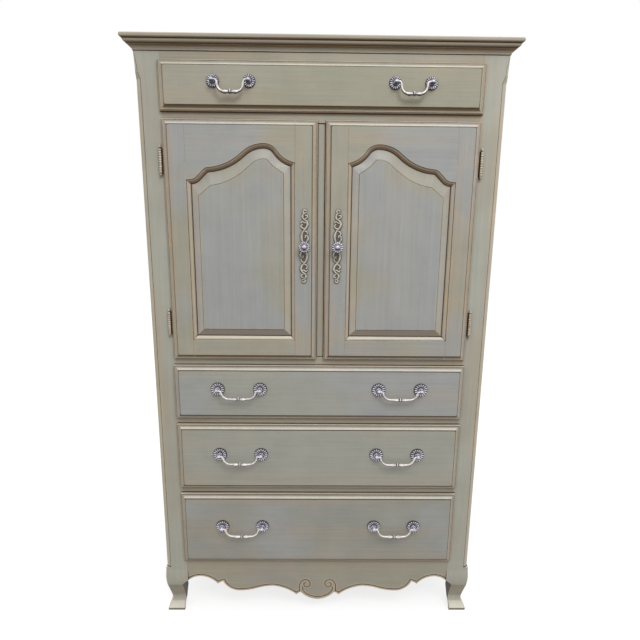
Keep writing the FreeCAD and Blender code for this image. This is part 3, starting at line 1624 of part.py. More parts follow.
doc.recompute()
for thing in doc.Objects:
    if "Invalid" in thing.State or "Error" in thing.State:
        raise RuntimeError(f"{thing.Label} failed: {thing.State}")
os.makedirs("parts", exist_ok=True)
for node in NODES:
    piece = doc.getObject(node)
    shape = piece.Shape
    if shape.isNull() or not shape.isValid():
        raise RuntimeError(f"{node} has no valid shape")
    shape.exportStep(f"parts/{node}.step")
print(len(NODES), "sub-parts, total height", float(total_height))
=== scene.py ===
# %% [markdown]
# # An armoire in antiqued paint
# Posts, rails, moulded drawers and arched doors come as ready solids and keep
# their shape. This lesson adds what a paint shop, a carver and a foundry add: a
# pale grey-green paint, streaked, glazed and rubbed through on its edges, an
# engraved line along the apron, and pulls, knobs and plates with real relief.

# %% The ready solids
import json
import math

import bpy
from mathutils import Matrix, Vector


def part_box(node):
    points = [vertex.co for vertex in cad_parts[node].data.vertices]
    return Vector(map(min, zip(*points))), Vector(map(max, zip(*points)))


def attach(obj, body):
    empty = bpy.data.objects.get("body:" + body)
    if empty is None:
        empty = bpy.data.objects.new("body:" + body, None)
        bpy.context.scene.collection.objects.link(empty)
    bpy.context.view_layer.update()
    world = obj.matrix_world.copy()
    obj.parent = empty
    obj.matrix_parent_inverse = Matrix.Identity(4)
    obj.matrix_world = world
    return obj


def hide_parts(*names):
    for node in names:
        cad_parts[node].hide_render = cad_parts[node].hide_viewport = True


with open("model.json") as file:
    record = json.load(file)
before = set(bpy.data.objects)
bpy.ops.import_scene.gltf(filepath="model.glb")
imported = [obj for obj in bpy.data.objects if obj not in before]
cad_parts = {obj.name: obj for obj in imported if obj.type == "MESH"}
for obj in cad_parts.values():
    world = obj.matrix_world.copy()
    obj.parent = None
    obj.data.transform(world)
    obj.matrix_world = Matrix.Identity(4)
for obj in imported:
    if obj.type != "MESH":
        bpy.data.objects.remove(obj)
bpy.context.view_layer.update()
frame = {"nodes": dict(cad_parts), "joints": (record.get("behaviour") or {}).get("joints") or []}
nodes = frame["nodes"]
scene = bpy.context.scene
MM = 0.001

# %% [markdown]
# The view: a little to the left of the middle, at chest height, tilted twelve
# degrees down. A camera looks along its own -Z with +Y up, so instead of three
# angles its matrix is built from the directions right, up and backwards, with
# half a degree of roll. Its distance is counted from the face of the case.

# %% Camera
CASE_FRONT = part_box("top_rail")[0].y
EYE_DISTANCE = 1400.85 * MM
EYE = Vector((-16.7 * MM, CASE_FRONT - EYE_DISTANCE, 1301.1 * MM))
PITCH = math.radians(12.03)
YAW = math.radians(0.68)
ROLL = math.radians(0.55)
FOCAL_PIXELS = 484.9
FRAME_PIXELS = 640.0
SENSOR_WIDTH = 36.0


def camera_matrix(eye, pitch, yaw, roll):
    """World matrix of a camera that looks down by pitch and right by yaw."""
    flat = math.cos(pitch)
    forward = Vector((math.sin(yaw) * flat, math.cos(yaw) * flat, -math.sin(pitch)))
    level = Vector((math.cos(yaw), -math.sin(yaw), 0.0))
    upright = level.cross(forward)
    right = math.cos(roll) * level + math.sin(roll) * upright
    up = math.cos(roll) * upright - math.sin(roll) * level
    aimed = Matrix((right, up, -forward)).transposed().to_4x4()
    return Matrix.Translation(eye) @ aimed


lens = bpy.data.cameras.new("view")
lens.sensor_fit = "HORIZONTAL"
lens.sensor_width = SENSOR_WIDTH
lens.lens = FOCAL_PIXELS * SENSOR_WIDTH / FRAME_PIXELS
camera = bpy.data.objects.new("view", lens)
camera.matrix_world = camera_matrix(EYE, PITCH, YAW, ROLL)
scene.collection.objects.link(camera)
scene.camera = camera
scene.view_settings.view_transform = "Standard"
print("lens:", round(lens.lens, 2), "mm")

# %% [markdown]
# Shader maths reads best as plain expressions. `Number` wraps the output of a
# node and gives it +, -, * and abs(), also with a plain number on the left, as
# in `1 - mask`, and the steps that masks need.

# %% Numbers in a shader


class Number:
    """An output socket that can be used in arithmetic."""

    def __init__(self, finish, socket):
        self.finish = finish
        self.socket = socket

    def combine(self, operation, first, second=0.0):
        return self.finish.add("Math", {"operation": operation}, {0: first, 1: second})

    def __add__(self, other):
        return self.combine("ADD", self, other)

    __radd__ = __add__

    def __sub__(self, other):
        return self.combine("SUBTRACT", self, other)

    def __rsub__(self, other):
        return self.combine("SUBTRACT", other, self)

    def __mul__(self, other):
        return self.combine("MULTIPLY", self, other)

    __rmul__ = __mul__

    def __neg__(self):
        return self * -1.0

    def __abs__(self):
        return self.combine("ABSOLUTE", self)

    def most(self, other):
        return self.combine("MAXIMUM", self, other)

    def least(self, other):
        return self.combine("MINIMUM", self, other)

    def step(self, low, high):
        """0 below low, 1 above high, and a smooth rise between them."""
        sockets = {"Value": self, "From Min": low, "From Max": high}
        return self.finish.add("MapRange", {"interpolation_type": "SMOOTHSTEP"}, sockets)

    def fade(self, low, high):
        """1 below low, 0 above high, and a smooth fall between them."""
        return 1 - self.step(low, high)


# %% [markdown]
# Every other node comes from `Finish.add`, which takes its type, its settings and
# the values or links of its sockets. The methods after it name what a finisher
# looks for: grain, hollows, sharp edges, and which way a face looks. The numbers
# below are the sockets of a Mix node for its factor and its colours.

# %% A finish under construction
X, Y, Z = range(3)
MIX_FACTOR, MIX_FIRST, MIX_SECOND, MIX_RESULT = (0, 6, 7, 2)
AO_SAMPLES = 8
BEVEL_SAMPLES = 6


class Finish:
    """A material, or the sky, under construction."""

    def __init__(self, owner, output):
        owner.use_nodes = True
        self.owner = owner
        self.tree = owner.node_tree
        self.tree.nodes.clear()
        self.output = self.tree.nodes.new(output)

    def add(self, kind, settings=None, sockets=None, out=0):
        """A node of this kind, as the Number of one of its outputs."""
        node = self.tree.nodes.new("ShaderNode" + kind)
        for name, value in (settings or {}).items():
            setattr(node, name, value)
        for name, value in (sockets or {}).items():
            if isinstance(value, Number):
                self.tree.links.new(value.socket, node.inputs[name])
            else:
                node.inputs[name].default_value = value
        return Number(self, node.outputs[out])

    def mix(self, mask, first, second, blend="MIX"):
        """first where the mask is 0, second where it is 1, as colours."""
        settings = {"data_type": "RGBA", "blend_type": blend, "clamp_factor": True}
        sockets = {MIX_FACTOR: mask, MIX_FIRST: first, MIX_SECOND: second}
        return self.add("Mix", settings, sockets, out=MIX_RESULT)

    def shade(self, colour, tone):
        """The colour made lighter or darker by a number around 1."""
        grey = self.add("CombineColor", sockets={X: tone, Y: tone, Z: tone})
        return self.mix(1.0, colour, grey, "MULTIPLY")

    def place(self, scale=(1.0, 1.0, 1.0), shift=(0.0, 0.0, 0.0)):
        """Object coordinates in metres, moved and stretched."""
        coordinates = self.add("TexCoord", out="Object")
        return self.add("Mapping", None, {"Vector": coordinates, "Location": shift, "Scale": scale})

    def noise(self, place, scale, detail=3.0, roughness=0.55, distortion=0.0):
        """Noise with this many waves in a metre."""
        sockets = {"Vector": place, "Scale": scale, "Detail": detail, "Roughness": roughness}
        return self.add("TexNoise", sockets={**sockets, "Distortion": distortion})

    def streaks(self, grain, slow, fast, detail=2.0, roughness=0.55, distortion=0.0):
        """Noise drawn out along the grain: slow waves along X, Y or Z, and fast ones across."""
        scale = [fast, fast, fast]
        scale[grain] = slow
        return self.noise(self.place(tuple(scale)), 1.0, detail, roughness, distortion)

    def part(self, kind, axis):
        """X, Y or Z of a coordinate of this kind."""
        return self.add("SeparateXYZ", sockets={0: self.add("TexCoord", out=kind)}, out=axis)

    def facing(self, axis):
        """How far the surface faces along X, Y or Z, from -1 to 1."""
        return self.part("Normal", axis)

    def position(self, axis):
        """X, Y or Z of the point in metres."""
        return self.part("Object", axis)

    def openness(self, reach):
        """Near 1 on open surfaces and towards 0 deep in a corner."""
        return self.add("AmbientOcclusion", {"samples": AO_SAMPLES}, {"Distance": reach}, out="AO")

    def arris(self, radius):
        """Above 0 within a radius of any sharp edge."""
        rounded = self.add("Bevel", {"samples": BEVEL_SAMPLES}, {"Radius": radius})
        flat = self.add("NewGeometry", out="Normal")
        settings = {"operation": "DOT_PRODUCT"}
        return 1 - self.add("VectorMath", settings, {0: rounded, 1: flat}, out="Value")

    def relief(self, height, depth, strength):
        return self.add("Bump", None, {"Strength": strength, "Distance": depth, "Height": height})

    def surface(self, sockets):
        """Ends the material in a painted, waxed or metal surface."""
        return self.end(self.add("BsdfPrincipled", sockets=sockets))

    def patterned(self, colour, figure, roughness, depth, strength, metallic=0.0):
        """Ends the material in a surface whose gloss and relief follow one pattern."""
        return self.surface({
            "Base Color": colour,
            "Metallic": metallic,
            "Roughness": roughness + 0.2 * figure,
            "Normal": self.relief(figure, depth, strength),
        })

    def end(self, shader):
        self.tree.links.new(shader.socket, self.output.inputs["Surface"])
        return self.owner


def new_finish(name):
    return Finish(bpy.data.materials.new(name), "ShaderNodeOutputMaterial")


def srgb(red, green, blue):
    """A colour as read from a swatch, 0 to 255, as the linear colour that nodes use."""
    linear = []
    for level in (red, green, blue):
        share = level / 255
        linear.append(share / 12.92 if share <= 0.04045 else ((share + 0.055) / 1.055) ** 2.4)
    return (*linear, 1.0)


# %% [markdown]
# The stage is a white floor. A stronger lamp could turn it white, but would
# bleach the paint. So the rays that come from the camera, off a mirror or through
# glass see white, and all others a warm grey, which still takes the shadow.

# %% Floor
FLOOR_SIZE = 14.0
FLOOR_BOUNCE = srgb(150, 140, 124)
FLOOR_WHITE_SHARE = 0.72
FLOOR_GLOW = 1.08
WHITE = (1.0, 1.0, 1.0, 1.0)


def is_seen(finish):
    """1 for the rays that show the stage itself: from the camera, a mirror or glass."""
    kinds = ("Camera", "Glossy", "Transmission")
    rays = [finish.add("LightPath", out=f"Is {kind} Ray") for kind in kinds]
    return rays[0].most(rays[1]).most(rays[2])


def primitive(name, operator, **settings):
    """A new primitive, selected alone."""
    bpy.ops.object.select_all(action="DESELECT")
    operator(**settings)
    piece = bpy.context.object
    piece.name = name
    return piece


floor_paint = new_finish("floor_white")
floor_seen = is_seen(floor_paint)
floor_colour = floor_paint.mix(floor_seen, FLOOR_BOUNCE, WHITE)
floor_lit = floor_paint.add("BsdfDiffuse", sockets={"Color": floor_colour})
floor_glow = floor_paint.add("Emission", sockets={"Strength": FLOOR_GLOW})
floor_share = floor_seen * FLOOR_WHITE_SHARE
floor_paint.end(floor_paint.add("MixShader", sockets={0: floor_share, 1: floor_lit, 2: floor_glow}))

floor = primitive("floor", bpy.ops.mesh.primitive_plane_add, size=FLOOR_SIZE)
floor.data.materials.append(floor_paint.owner)
print("floor:", FLOOR_SIZE, "m square")

# %% [markdown]
# An overcast sky, brightest overhead, leaves soft shade under every ledge. One
# large lamp, in front, above and a little to the right, gives the mouldings a
# direction. Both stay at a level at which a colour looks about as written.

# %% Sky and lamp
SKY_TOP = 1.5
SKY_SIDE = 0.34
SKY_FADE = (-0.1, 1.0)
SKY_TINT = srgb(250, 250, 252)
LAMP_PLACE = Vector((0.9, -2.4, 3.6))
LAMP_AIM = Vector((0.0, 0.0, 0.9))
LAMP_WATTS = 48.0
LAMP_SIZE = 1.3

scene.world = bpy.data.worlds.new("overcast")
sky = Finish(scene.world, "ShaderNodeOutputWorld")
sky_height = sky.part("Generated", Z)
sky_level = sky_height.step(*SKY_FADE) * (SKY_TOP - SKY_SIDE) + SKY_SIDE
sky_seen = is_seen(sky)
sky_strength = sky_seen + sky_level * (1 - sky_seen)
sky_colour = sky.mix(sky_seen, SKY_TINT, WHITE)
sky.end(sky.add("Background", sockets={"Color": sky_colour, "Strength": sky_strength}))

lamp = bpy.data.lights.new("soft_lamp", "AREA")
lamp.energy = LAMP_WATTS
lamp.size = LAMP_SIZE
lamp_object = bpy.data.objects.new("soft_lamp", lamp)
lamp_object.location = LAMP_PLACE
lamp_object.rotation_euler = (LAMP_AIM - LAMP_PLACE).to_track_quat("-Z", "Y").to_euler()
scene.collection.objects.link(lamp_object)
print("lamp:", LAMP_WATTS, "W, sky:", SKY_TOP)

# %% [markdown]
# Antiqued paint is made in a finisher's order. First comes the ground coat. Its
# colour drifts between two neighbours, the brush leaves streaks along the grain,
# and warm wood shows through thin strokes. A picture of paint would blur close by
# and end at each board; noise drawn out along the grain stays sharp.

# %% Ground coat
GREY_GREEN = srgb(160, 158, 144)
# The two pale grounds below are painted light: paler than the paint, so that the posts and rails look
# more brightly lit.
PALE_GREY = srgb(171, 173, 163)
PALE_WARM = srgb(167, 165, 152)
KHAKI = srgb(162, 154, 137)
MOSS = srgb(153, 153, 136)
SLATE = srgb(151, 152, 145)
COOL_GREY = srgb(161, 162, 154)
BLUE_GREY = srgb(158, 161, 161)
WARM_GREY = srgb(159, 155, 148)
WARM = srgb(178, 154, 128)
DRIFT_SHIFT = (0.7, 0.0, 0.3)


def brush_marks(finish, grain):
    """Broad strokes, bristle marks and fine marks along the grain, and soft clouds."""
    stroke = finish.streaks(grain, slow=0.9, fast=26.0, detail=3.0, roughness=0.5)
    bristle = finish.streaks(grain, slow=3.0, fast=120.0, detail=5.0, roughness=0.65)
    fine = finish.streaks(grain, slow=9.0, fast=420.0, roughness=0.5)
    cloud = finish.noise(finish.place(), 12.0, roughness=0.6)
    return stroke, bristle, fine, cloud


def ground_coat(finish, grounds, warmth, marks):
    """The streaked colour, between two grounds; warmth is how much wood shows through."""
    stroke, bristle, fine, cloud = marks
    drift = finish.noise(finish.place(shift=DRIFT_SHIFT), 3.1, detail=2.0)
    colour = finish.mix(drift.step(0.42, 0.6) * 0.9, *grounds)
    thin = (stroke + 0.35 * cloud).step(0.6, 0.9)
    colour = finish.mix(thin * warmth, colour, WARM)
    return finish.shade(colour, 0.67 + 0.27 * bristle + 0.16 * fine + 0.23 * cloud)


# %% [markdown]
# Then come brown glaze, wiped off except in hollows and under ledges, where its
# brown is painted shade as well; a painted highlight in cream on faces that look
# up; wear: rubbed paint on slopes and bare wood on sharp edges; and a dark line in
# every quirk, glaze with painted shade. Ambient occlusion finds the hollows and a
# Bevel node the edges, so one recipe serves every moulding. Along the apron a band
# of paint is rubbed too, and fades out at the posts.

# %% Glaze, wear and painted light
# The brown below is glaze, and painted shade where it lies in hollows, under ledges and in the
# corners of the bare wood.
GLAZE_AND_SHADE_BROWN = srgb(112, 88, 58)
# The dark line colour below is glaze; in creases, between the strokes of the scroll plates, on the
# undersides of the plates and on the feet it is also painted shade.
LINE = srgb(54, 38, 24)
PEACH = srgb(170, 138, 104)
RUBBED = srgb(214, 196, 168)
# The cream below is a painted highlight, for faces that look up.
HIGHLIGHT_CREAM = srgb(218, 213, 198)
SPECK = srgb(98, 86, 70)
QUIRK_REACH = 3.0 * MM
HOLLOW_REACH = 30 * MM
WORN_RADIUS = 2.6 * MM
SHARP_EDGE = (0.014, 0.1)
POST_SEAM = -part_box("front_post_left")[1].x
LIP_FADE = (-14 * MM, -8 * MM)


def highlit_and_worn_faces(finish, colour, cloud, top_highlight):
    """A painted highlight in cream on faces that look up, and rubbed paint on slopes that look
    sideways.
    """
    painted_highlight = finish.facing(Z).step(0.1, 0.45) * (0.55 + 0.6 * cloud)
    slope = abs(finish.facing(X))
    aside = slope.step(0.1, 0.42) * slope.fade(0.93, 0.99) * (0.2 + 0.9 * cloud)
    colour = finish.mix(painted_highlight * top_highlight, colour, HIGHLIGHT_CREAM)
    return finish.mix(aside * 0.55, colour, RUBBED)


def glaze_and_painted_shade(finish, cloud, lean, share):
    """Mask of the brown in hollows, and on faces that look down by more than lean: glaze, and painted
    shade with it.
    """
    # Brown in wide hollows and on faces that look down is glaze and painted shade together.
    hollow = (1 - finish.openness(HOLLOW_REACH)).step(0.14, 0.95) * (0.62 + 0.6 * cloud)
    shaded_underside = (-finish.facing(Z)).step(lean, lean + 0.4)
    return hollow.most(shaded_underside * 0.85) * share


def edge_masks(finish, bristle, cloud, seam, dark):
    """Masks of the bare wood on sharp edges, of its brink, and of the dark lines: glaze in quirks,
    with painted shade in creases and where parts meet.
    """
    tight = finish.openness(QUIRK_REACH)
    rounded = finish.arris(WORN_RADIUS)
    sharp = rounded.step(*SHARP_EDGE)
    bare = sharp * tight.step(0.9, 0.98) * (bristle + cloud).step(0.7, 1.05)
    brink = rounded.step(0.002, 0.008) * rounded.fade(0.02, 0.05) * (0.3 + cloud)
    # A dark line in every crease: glaze with painted shade.
    line = (1 - tight).step(0.03, 0.14)
    if seam is not None:
        joint = seam(finish)
        bare = bare * (1 - joint)
        line = line.most(joint * sharp * 0.25)
    for mask in dark:
        line = line.most(mask(finish))
    return bare, brink, line


def rubbed_lip(finish, width):
    """Mask of a band along sharp edges, clear of the posts."""
    from_post = abs(finish.position(X)) - POST_SEAM
    return finish.arris(width).step(0.004, 0.02) * from_post.fade(*LIP_FADE)


# %% [markdown]
# The whole recipe lays these coats over one another and ends with fly specks.
# The bristle marks also raise the surface and dull it, so that the light breaks
# up on them as on brushed paint.

# %% Antiqued paint


def antiqued_paint(name, grain, grounds, warmth, top_highlight=0.9, lean=0.05, glaze_and_shade_share=1.0, lip=0.0,
                   seam=None, dark=()):
    """Paint brushed along the grain. After warmth come the strength of the painted highlight on
    faces that look up; lean, how far a face looks down before it turns brown with glaze and
    painted shade; the share of that brown that stays; and lip, how wide the edges are rubbed.
    seam and dark make the masks of joints, and of dark glaze and painted shade."""
    finish = new_finish(name)
    marks = brush_marks(finish, grain)
    _, bristle, fine, cloud = marks
    brown = glaze_and_painted_shade(finish, cloud, lean, glaze_and_shade_share)
    bare, brink, line = edge_masks(finish, bristle, cloud, seam, dark)
    dots = finish.noise(finish.place(), 260.0, detail=1.0, roughness=0.4).step(0.745, 0.775)
    colour = ground_coat(finish, grounds, warmth, marks)
    # A painted highlight on faces that look up, and rubbed paint on sideways slopes.
    colour = highlit_and_worn_faces(finish, colour, cloud, top_highlight)
    # The brown of glaze and painted shade, in hollows and under ledges.
    colour = finish.mix(brown, colour, GLAZE_AND_SHADE_BROWN)
    if lip > 0.0:
        colour = finish.mix(rubbed_lip(finish, lip), colour, RUBBED)
    # The dark lines are glaze in quirks and painted shade in creases and where parts meet.
    coats = ((bare * 0.85, RUBBED), (brink * 0.8, PEACH), (line * 0.92, LINE), (dots * 0.5, SPECK))
    for mask, coat in coats:
        colour = finish.mix(mask, colour, coat)
    return finish.surface({
        "Base Color": colour,
        "Roughness": 0.5 + 0.18 * bristle + 0.1 * brown,
        "Normal": finish.relief(bristle + 0.5 * fine - 0.5 * dots, 0.0006, 0.16),
    })


# %% [markdown]
# Where two boards meet flush, nobody has rubbed their edges: there the seam mask
# takes the bare wood away and leaves a thin brown line. A seam is a distance
# from the middle, on the plane of the painted face; on the stiles it stops where
# the panel begins, because there the edge is the outer line of the moulding.

# %% Seams
DOOR_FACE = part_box("left_door_stiles")[0].y
PANEL_LOW, PANEL_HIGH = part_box("left_door_panel")
TONGUE_TO_STILE = 3.5 * MM
SEAM_WIDTH = 3.0 * MM
FACE_DEPTH = (0.5 * MM, 1.0 * MM)
DOOR_SEAMS = (-PANEL_LOW.x + TONGUE_TO_STILE, -PANEL_HIGH.x - TONGUE_TO_STILE)
DOOR_OPENING = (PANEL_LOW.z - 4 * MM, PANEL_HIGH.z - 50 * MM)


def seam_mask(places, plane, opening=None):
    """Makes the mask of flush joints at these distances from the middle."""

    def mask(finish):
        across = abs(finish.position(X))
        close = [abs(across - place).fade(SEAM_WIDTH, 1.4 * SEAM_WIDTH) for place in places]
        found = close[0]
        for other in close[1:]:
            found = found.most(other)
        found = found * abs(finish.position(Y) - plane).fade(*FACE_DEPTH)
        if opening is None:
            return found
        low, high = opening
        height = finish.position(Z)
        return found * height.fade(low, low + MM).most(height.step(high, high + MM))

    return mask


post_seam = seam_mask((POST_SEAM,), CASE_FRONT)
rail_seam = seam_mask(DOOR_SEAMS, DOOR_FACE)
stile_seam = seam_mask(DOOR_SEAMS, DOOR_FACE, DOOR_OPENING)
print("seams of the doors:", [round(place / MM) for place in DOOR_SEAMS], "mm out")

# %% [markdown]
# Dark colour is left in three more places: glaze in the fine channel between the
# moulded edge of a door or drawer and its field, glaze with painted shade between
# the strokes of the scroll plates, and painted shade on the soles and inner sides
# of the feet. The channel is told by its distance from the outline of the board,
# the others by their place.

# %% Dark glaze and painted shade
QUIRK_INSET = 14.5 * MM
QUIRK_WIDTH = (1.2 * MM, 1.8 * MM)
QUIRK_DEPTH = (2.5 * MM, 3.0 * MM)
# Where the glaze and painted shade behind a scroll plate fade out, from the plate's middle.
HALO_SIDES = (15 * MM, 17 * MM)
HALO_ENDS = (106 * MM, 109 * MM)
HALO_REACH = 12 * MM
CORE_SIDES = (5 * MM, 9 * MM)
CORE_ENDS = (88 * MM, 98 * MM)
ON_DOOR = (1 * MM, 2 * MM)
FOOT_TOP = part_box("apron")[1].z
FOOT_BLEND = 30 * MM
SOLE_EDGE = (3 * MM, 6 * MM)
INWARD = -2.2


def centre(name):
    """Middle of the box around a ready solid."""
    low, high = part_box(name)
    return (low + high) / 2


def quirk_line(low, high, face):
    """Makes the mask of the channel between the moulding of a board and its field."""

    def mask(finish):
        across = abs(finish.position(X))
        height = finish.position(Z)
        inside = (high.x - across).least(height - low.z).least(high.z - height)
        if low.x > 0:
            inside = inside.least(across - low.x)
        channel = abs(inside - QUIRK_INSET).fade(*QUIRK_WIDTH)
        return channel * abs(finish.position(Y) - face).fade(*QUIRK_DEPTH) * 0.8

    return mask


def glaze_and_shade_pool(finish):
    """Glaze that stayed between the strokes of the scroll plates, with painted shade beside them, on
    the front only.
    """
    middle = centre("right_door_escutcheon")
    across = abs(abs(finish.position(X)) - middle.x)
    height = abs(finish.position(Z) - middle.z)
    halo = across.fade(*HALO_SIDES) * (1 - finish.openness(HALO_REACH)).step(0.03, 0.11)
    core = across.fade(*CORE_SIDES) * height.fade(*CORE_ENDS) * 0.7
    front = abs(finish.position(Y) - DOOR_FACE).fade(*ON_DOOR)
    return halo.most(core) * height.fade(*HALO_ENDS) * front


def shaded_inside_of_foot(finish):
    """Painted shade on the soles, and on the faces of a leg that look at the other leg."""
    inward = (finish.facing(X) * finish.position(X) * INWARD).step(0.3, 0.8)
    height = finish.position(Z)
    leg = inward * height.fade(FOOT_TOP - FOOT_BLEND, FOOT_TOP)
    return leg.most(height.fade(*SOLE_EDGE)) * 0.85


door_quirk = quirk_line(*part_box("right_door_stiles"), DOOR_FACE)
print("quirks:", QUIRK_INSET / MM, "mm inside the edge")

# %% [markdown]
# The streaks follow the joinery: posts, stiles and panels are brushed up and
# down, rails and drawer fronts from side to side, the rails of the sides from
# front to back. Each group of boards drifts between two grounds of its own: warm
# on the rails, pale on the posts, bluish on the panels. So does each drawer, as
# if the pot had been stirred afresh each time. The grounds of the posts and rails
# are paler than their paint, as painted light.

# %% Paint on the case and the doors
CASE_GROUNDS = (GREY_GREEN, WARM_GREY)
DOOR_GROUNDS = (GREY_GREEN, BLUE_GREY)
apron_paint = antiqued_paint("paint_apron", X, CASE_GROUNDS, 0.25, lip=8 * MM, seam=post_seam)
rail_paint = antiqued_paint("paint_frieze", X, (PALE_WARM, KHAKI), 0.3, glaze_and_shade_share=0.6, seam=post_seam)
top_paint = antiqued_paint("paint_top", X, CASE_GROUNDS, 0.3, top_highlight=0.3, lean=0.3)
cornice_paint = antiqued_paint("paint_crown", X, CASE_GROUNDS, 0.3, lean=0.5)
side_rail_paint = antiqued_paint("paint_deep", Y, DOOR_GROUNDS, 0.3)
post_paint = antiqued_paint("paint_post", Z, (PALE_GREY, PALE_WARM), 0.4, seam=post_seam,
                            dark=(shaded_inside_of_foot,))
door_rail_paint = antiqued_paint("paint_door_rail", X, DOOR_GROUNDS, 0.2, seam=rail_seam,
                                 dark=(door_quirk,))
stile_paint = antiqued_paint("paint_door_stile", Z, DOOR_GROUNDS, 0.6, seam=stile_seam,
                             dark=(door_quirk, glaze_and_shade_pool))
panel_paint = antiqued_paint("paint_panel", Z, (BLUE_GREY, GREY_GREEN), 0.12, top_highlight=1.4)


def finish_nodes(material, *names):
    """Gives ready solids their finish."""
    for name in names:
        for slot in nodes[name].material_slots:
            slot.material = material


finish_nodes(rail_paint, "top_rail", "door_rails", "drawer_rails")
finish_nodes(top_paint, "top_board")
finish_nodes(cornice_paint, "cornice")
finish_nodes(side_rail_paint, "side_rails")
finish_nodes(post_paint, "front_post_left", "front_post_right", "rear_posts")
finish_nodes(post_paint, "side_panels", "centre_strip")
for door in ("left_door", "right_door"):
    finish_nodes(door_rail_paint, f"{door}_top_rail", f"{door}_bottom_rail")
    finish_nodes(stile_paint, f"{door}_stiles")
    finish_nodes(panel_paint, f"{door}_panel")
print("painted: case and doors")

# %% Paint on the drawers
DRAWER_GROUNDS = {
    "drawer_1": (MOSS, GREY_GREEN),
    "drawer_2": (COOL_GREY, BLUE_GREY),
    "drawer_3": (COOL_GREY, GREY_GREEN),
    "drawer_4": (SLATE, BLUE_GREY),
}
DRAWERS = tuple(DRAWER_GROUNDS)
DRAWER_WARMTH = 0.25

for drawer, grounds in DRAWER_GROUNDS.items():
    low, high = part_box(f"{drawer}_front")
    quirk = quirk_line(Vector((-high.x, low.y, low.z)), high, low.y)
    paint = antiqued_paint(f"paint_{drawer}", X, grounds, DRAWER_WARMTH, dark=(quirk,))
    finish_nodes(paint, f"{drawer}_front")
print("painted:", len(DRAWERS), "drawers")

# %% [markdown]
# Inside, the wood stays bare under a clear lacquer. Its grain is noise stretched
# along the board and bent, so that the lines wander. The sides of a drawer run
# front to back and its back runs across, so the box looks at which way a face
# points to choose.

# %% Lacquered wood
INNER = (srgb(172, 138, 98), srgb(128, 94, 60))
DRAWER = (srgb(204, 172, 128), srgb(166, 128, 84))
BOARD = (srgb(138, 106, 74), srgb(106, 78, 52))


def grain_lines(finish, direction):
    """Wandering figure and pores along a board."""
    slow = finish.streaks(direction, slow=1.2, fast=9.0)
    figure = finish.streaks(direction, slow=2.0, fast=60.0, detail=4.0, roughness=0.6, distortion=0.8)
    pores = finish.streaks(direction, slow=12.0, fast=700.0)
    return figure * 0.6 + slow * 0.4 - pores.step(0.6, 0.72) * 0.16


def lacquered_wood(name, grain, tones, back_grain=None):
    """Boards in a light and a dark tone; back_grain is for faces that look along Y."""
    light, dark = tones
    finish = new_finish(name)
    figure = grain_lines(finish, grain)
    if back_grain is not None:
        ends = abs(finish.facing(Y)).step(0.4, 0.6)
        figure = figure * (1 - ends) + grain_lines(finish, back_grain) * ends
    colour = finish.mix(figure.step(0.34, 0.62), dark, light)
    # Darker in the corners: a painted shade, in the glaze brown.
    colour = finish.mix((1 - finish.openness(20 * MM)) * 0.5, colour, GLAZE_AND_SHADE_BROWN)
    return finish.patterned(colour, figure, roughness=0.42, depth=0.0005, strength=0.2)


deck_wood = lacquered_wood("inner_wood_across", X, INNER)
runner_wood = lacquered_wood("inner_wood_deep", Y, INNER)
box_wood = lacquered_wood("drawer_wood_box", Y, DRAWER, back_grain=X)
bottom_wood = lacquered_wood("drawer_wood_bottom", X, DRAWER)
back_wood = lacquered_wood("back_board", Z, BOARD)
finish_nodes(deck_wood, "tv_deck", "dust_panels", "adjustable_shelf")
finish_nodes(runner_wood, "drawer_runners")
finish_nodes(box_wood, *[f"{drawer}_box" for drawer in DRAWERS])
finish_nodes(bottom_wood, *[f"{drawer}_bottom" for drawer in DRAWERS])
finish_nodes(back_wood, "back_panel")
print("lacquered: the inside")

# %% [markdown]
# Four turned pins carry the shelf, and a moulded catch holds each door. Both are
# hardly seen, so one fine noise does: faint rings on the steel, and the grain of
# a mould on the plastic.

# %% Pins and catches
steel = new_finish("pin_steel")
rings = steel.streaks(X, slow=900.0, fast=60.0)
bright = steel.shade(srgb(205, 205, 205), 0.85 + 0.3 * rings)
steel.patterned(bright, rings, roughness=0.28, depth=0.0002, strength=0.2, metallic=1.0)
finish_nodes(steel.owner, "shelf_pins")

plastic = new_finish("catch_plastic")
mould = plastic.noise(plastic.place(), 1600.0, detail=2.0)
brown = plastic.shade(srgb(62, 52, 44), 0.8 + 0.4 * mould)
plastic.patterned(brown, mould, roughness=0.5, depth=0.0002, strength=0.3)
finish_nodes(plastic.owner, "door_catches")
print("finished: pins and catches")

# %% [markdown]
# The pulls, knobs and plates are castings with a dark wash that was wiped off
# again: it stays in hollows and dulls the metal. Their undersides are darkened
# too, as painted shade. Bails are a warm white, petals have a hint of lilac, and
# the discs behind them kept the whole wash. The plates were brushed over with the
# door's paint, and the hinges went brown.

# %% Cast metal
CAST_TONES = (srgb(236, 231, 228), srgb(196, 189, 194))
PETAL_TONES = (srgb(220, 220, 232), srgb(176, 175, 190))
PATINA = srgb(30, 23, 28)
UNWIPED = srgb(46, 38, 42)
HINGE_PALE = srgb(212, 202, 180)
HINGE_BROWN = srgb(70, 54, 40)
PLATE_PALE = srgb(198, 195, 182)
WASH_REACH = 3.5 * MM


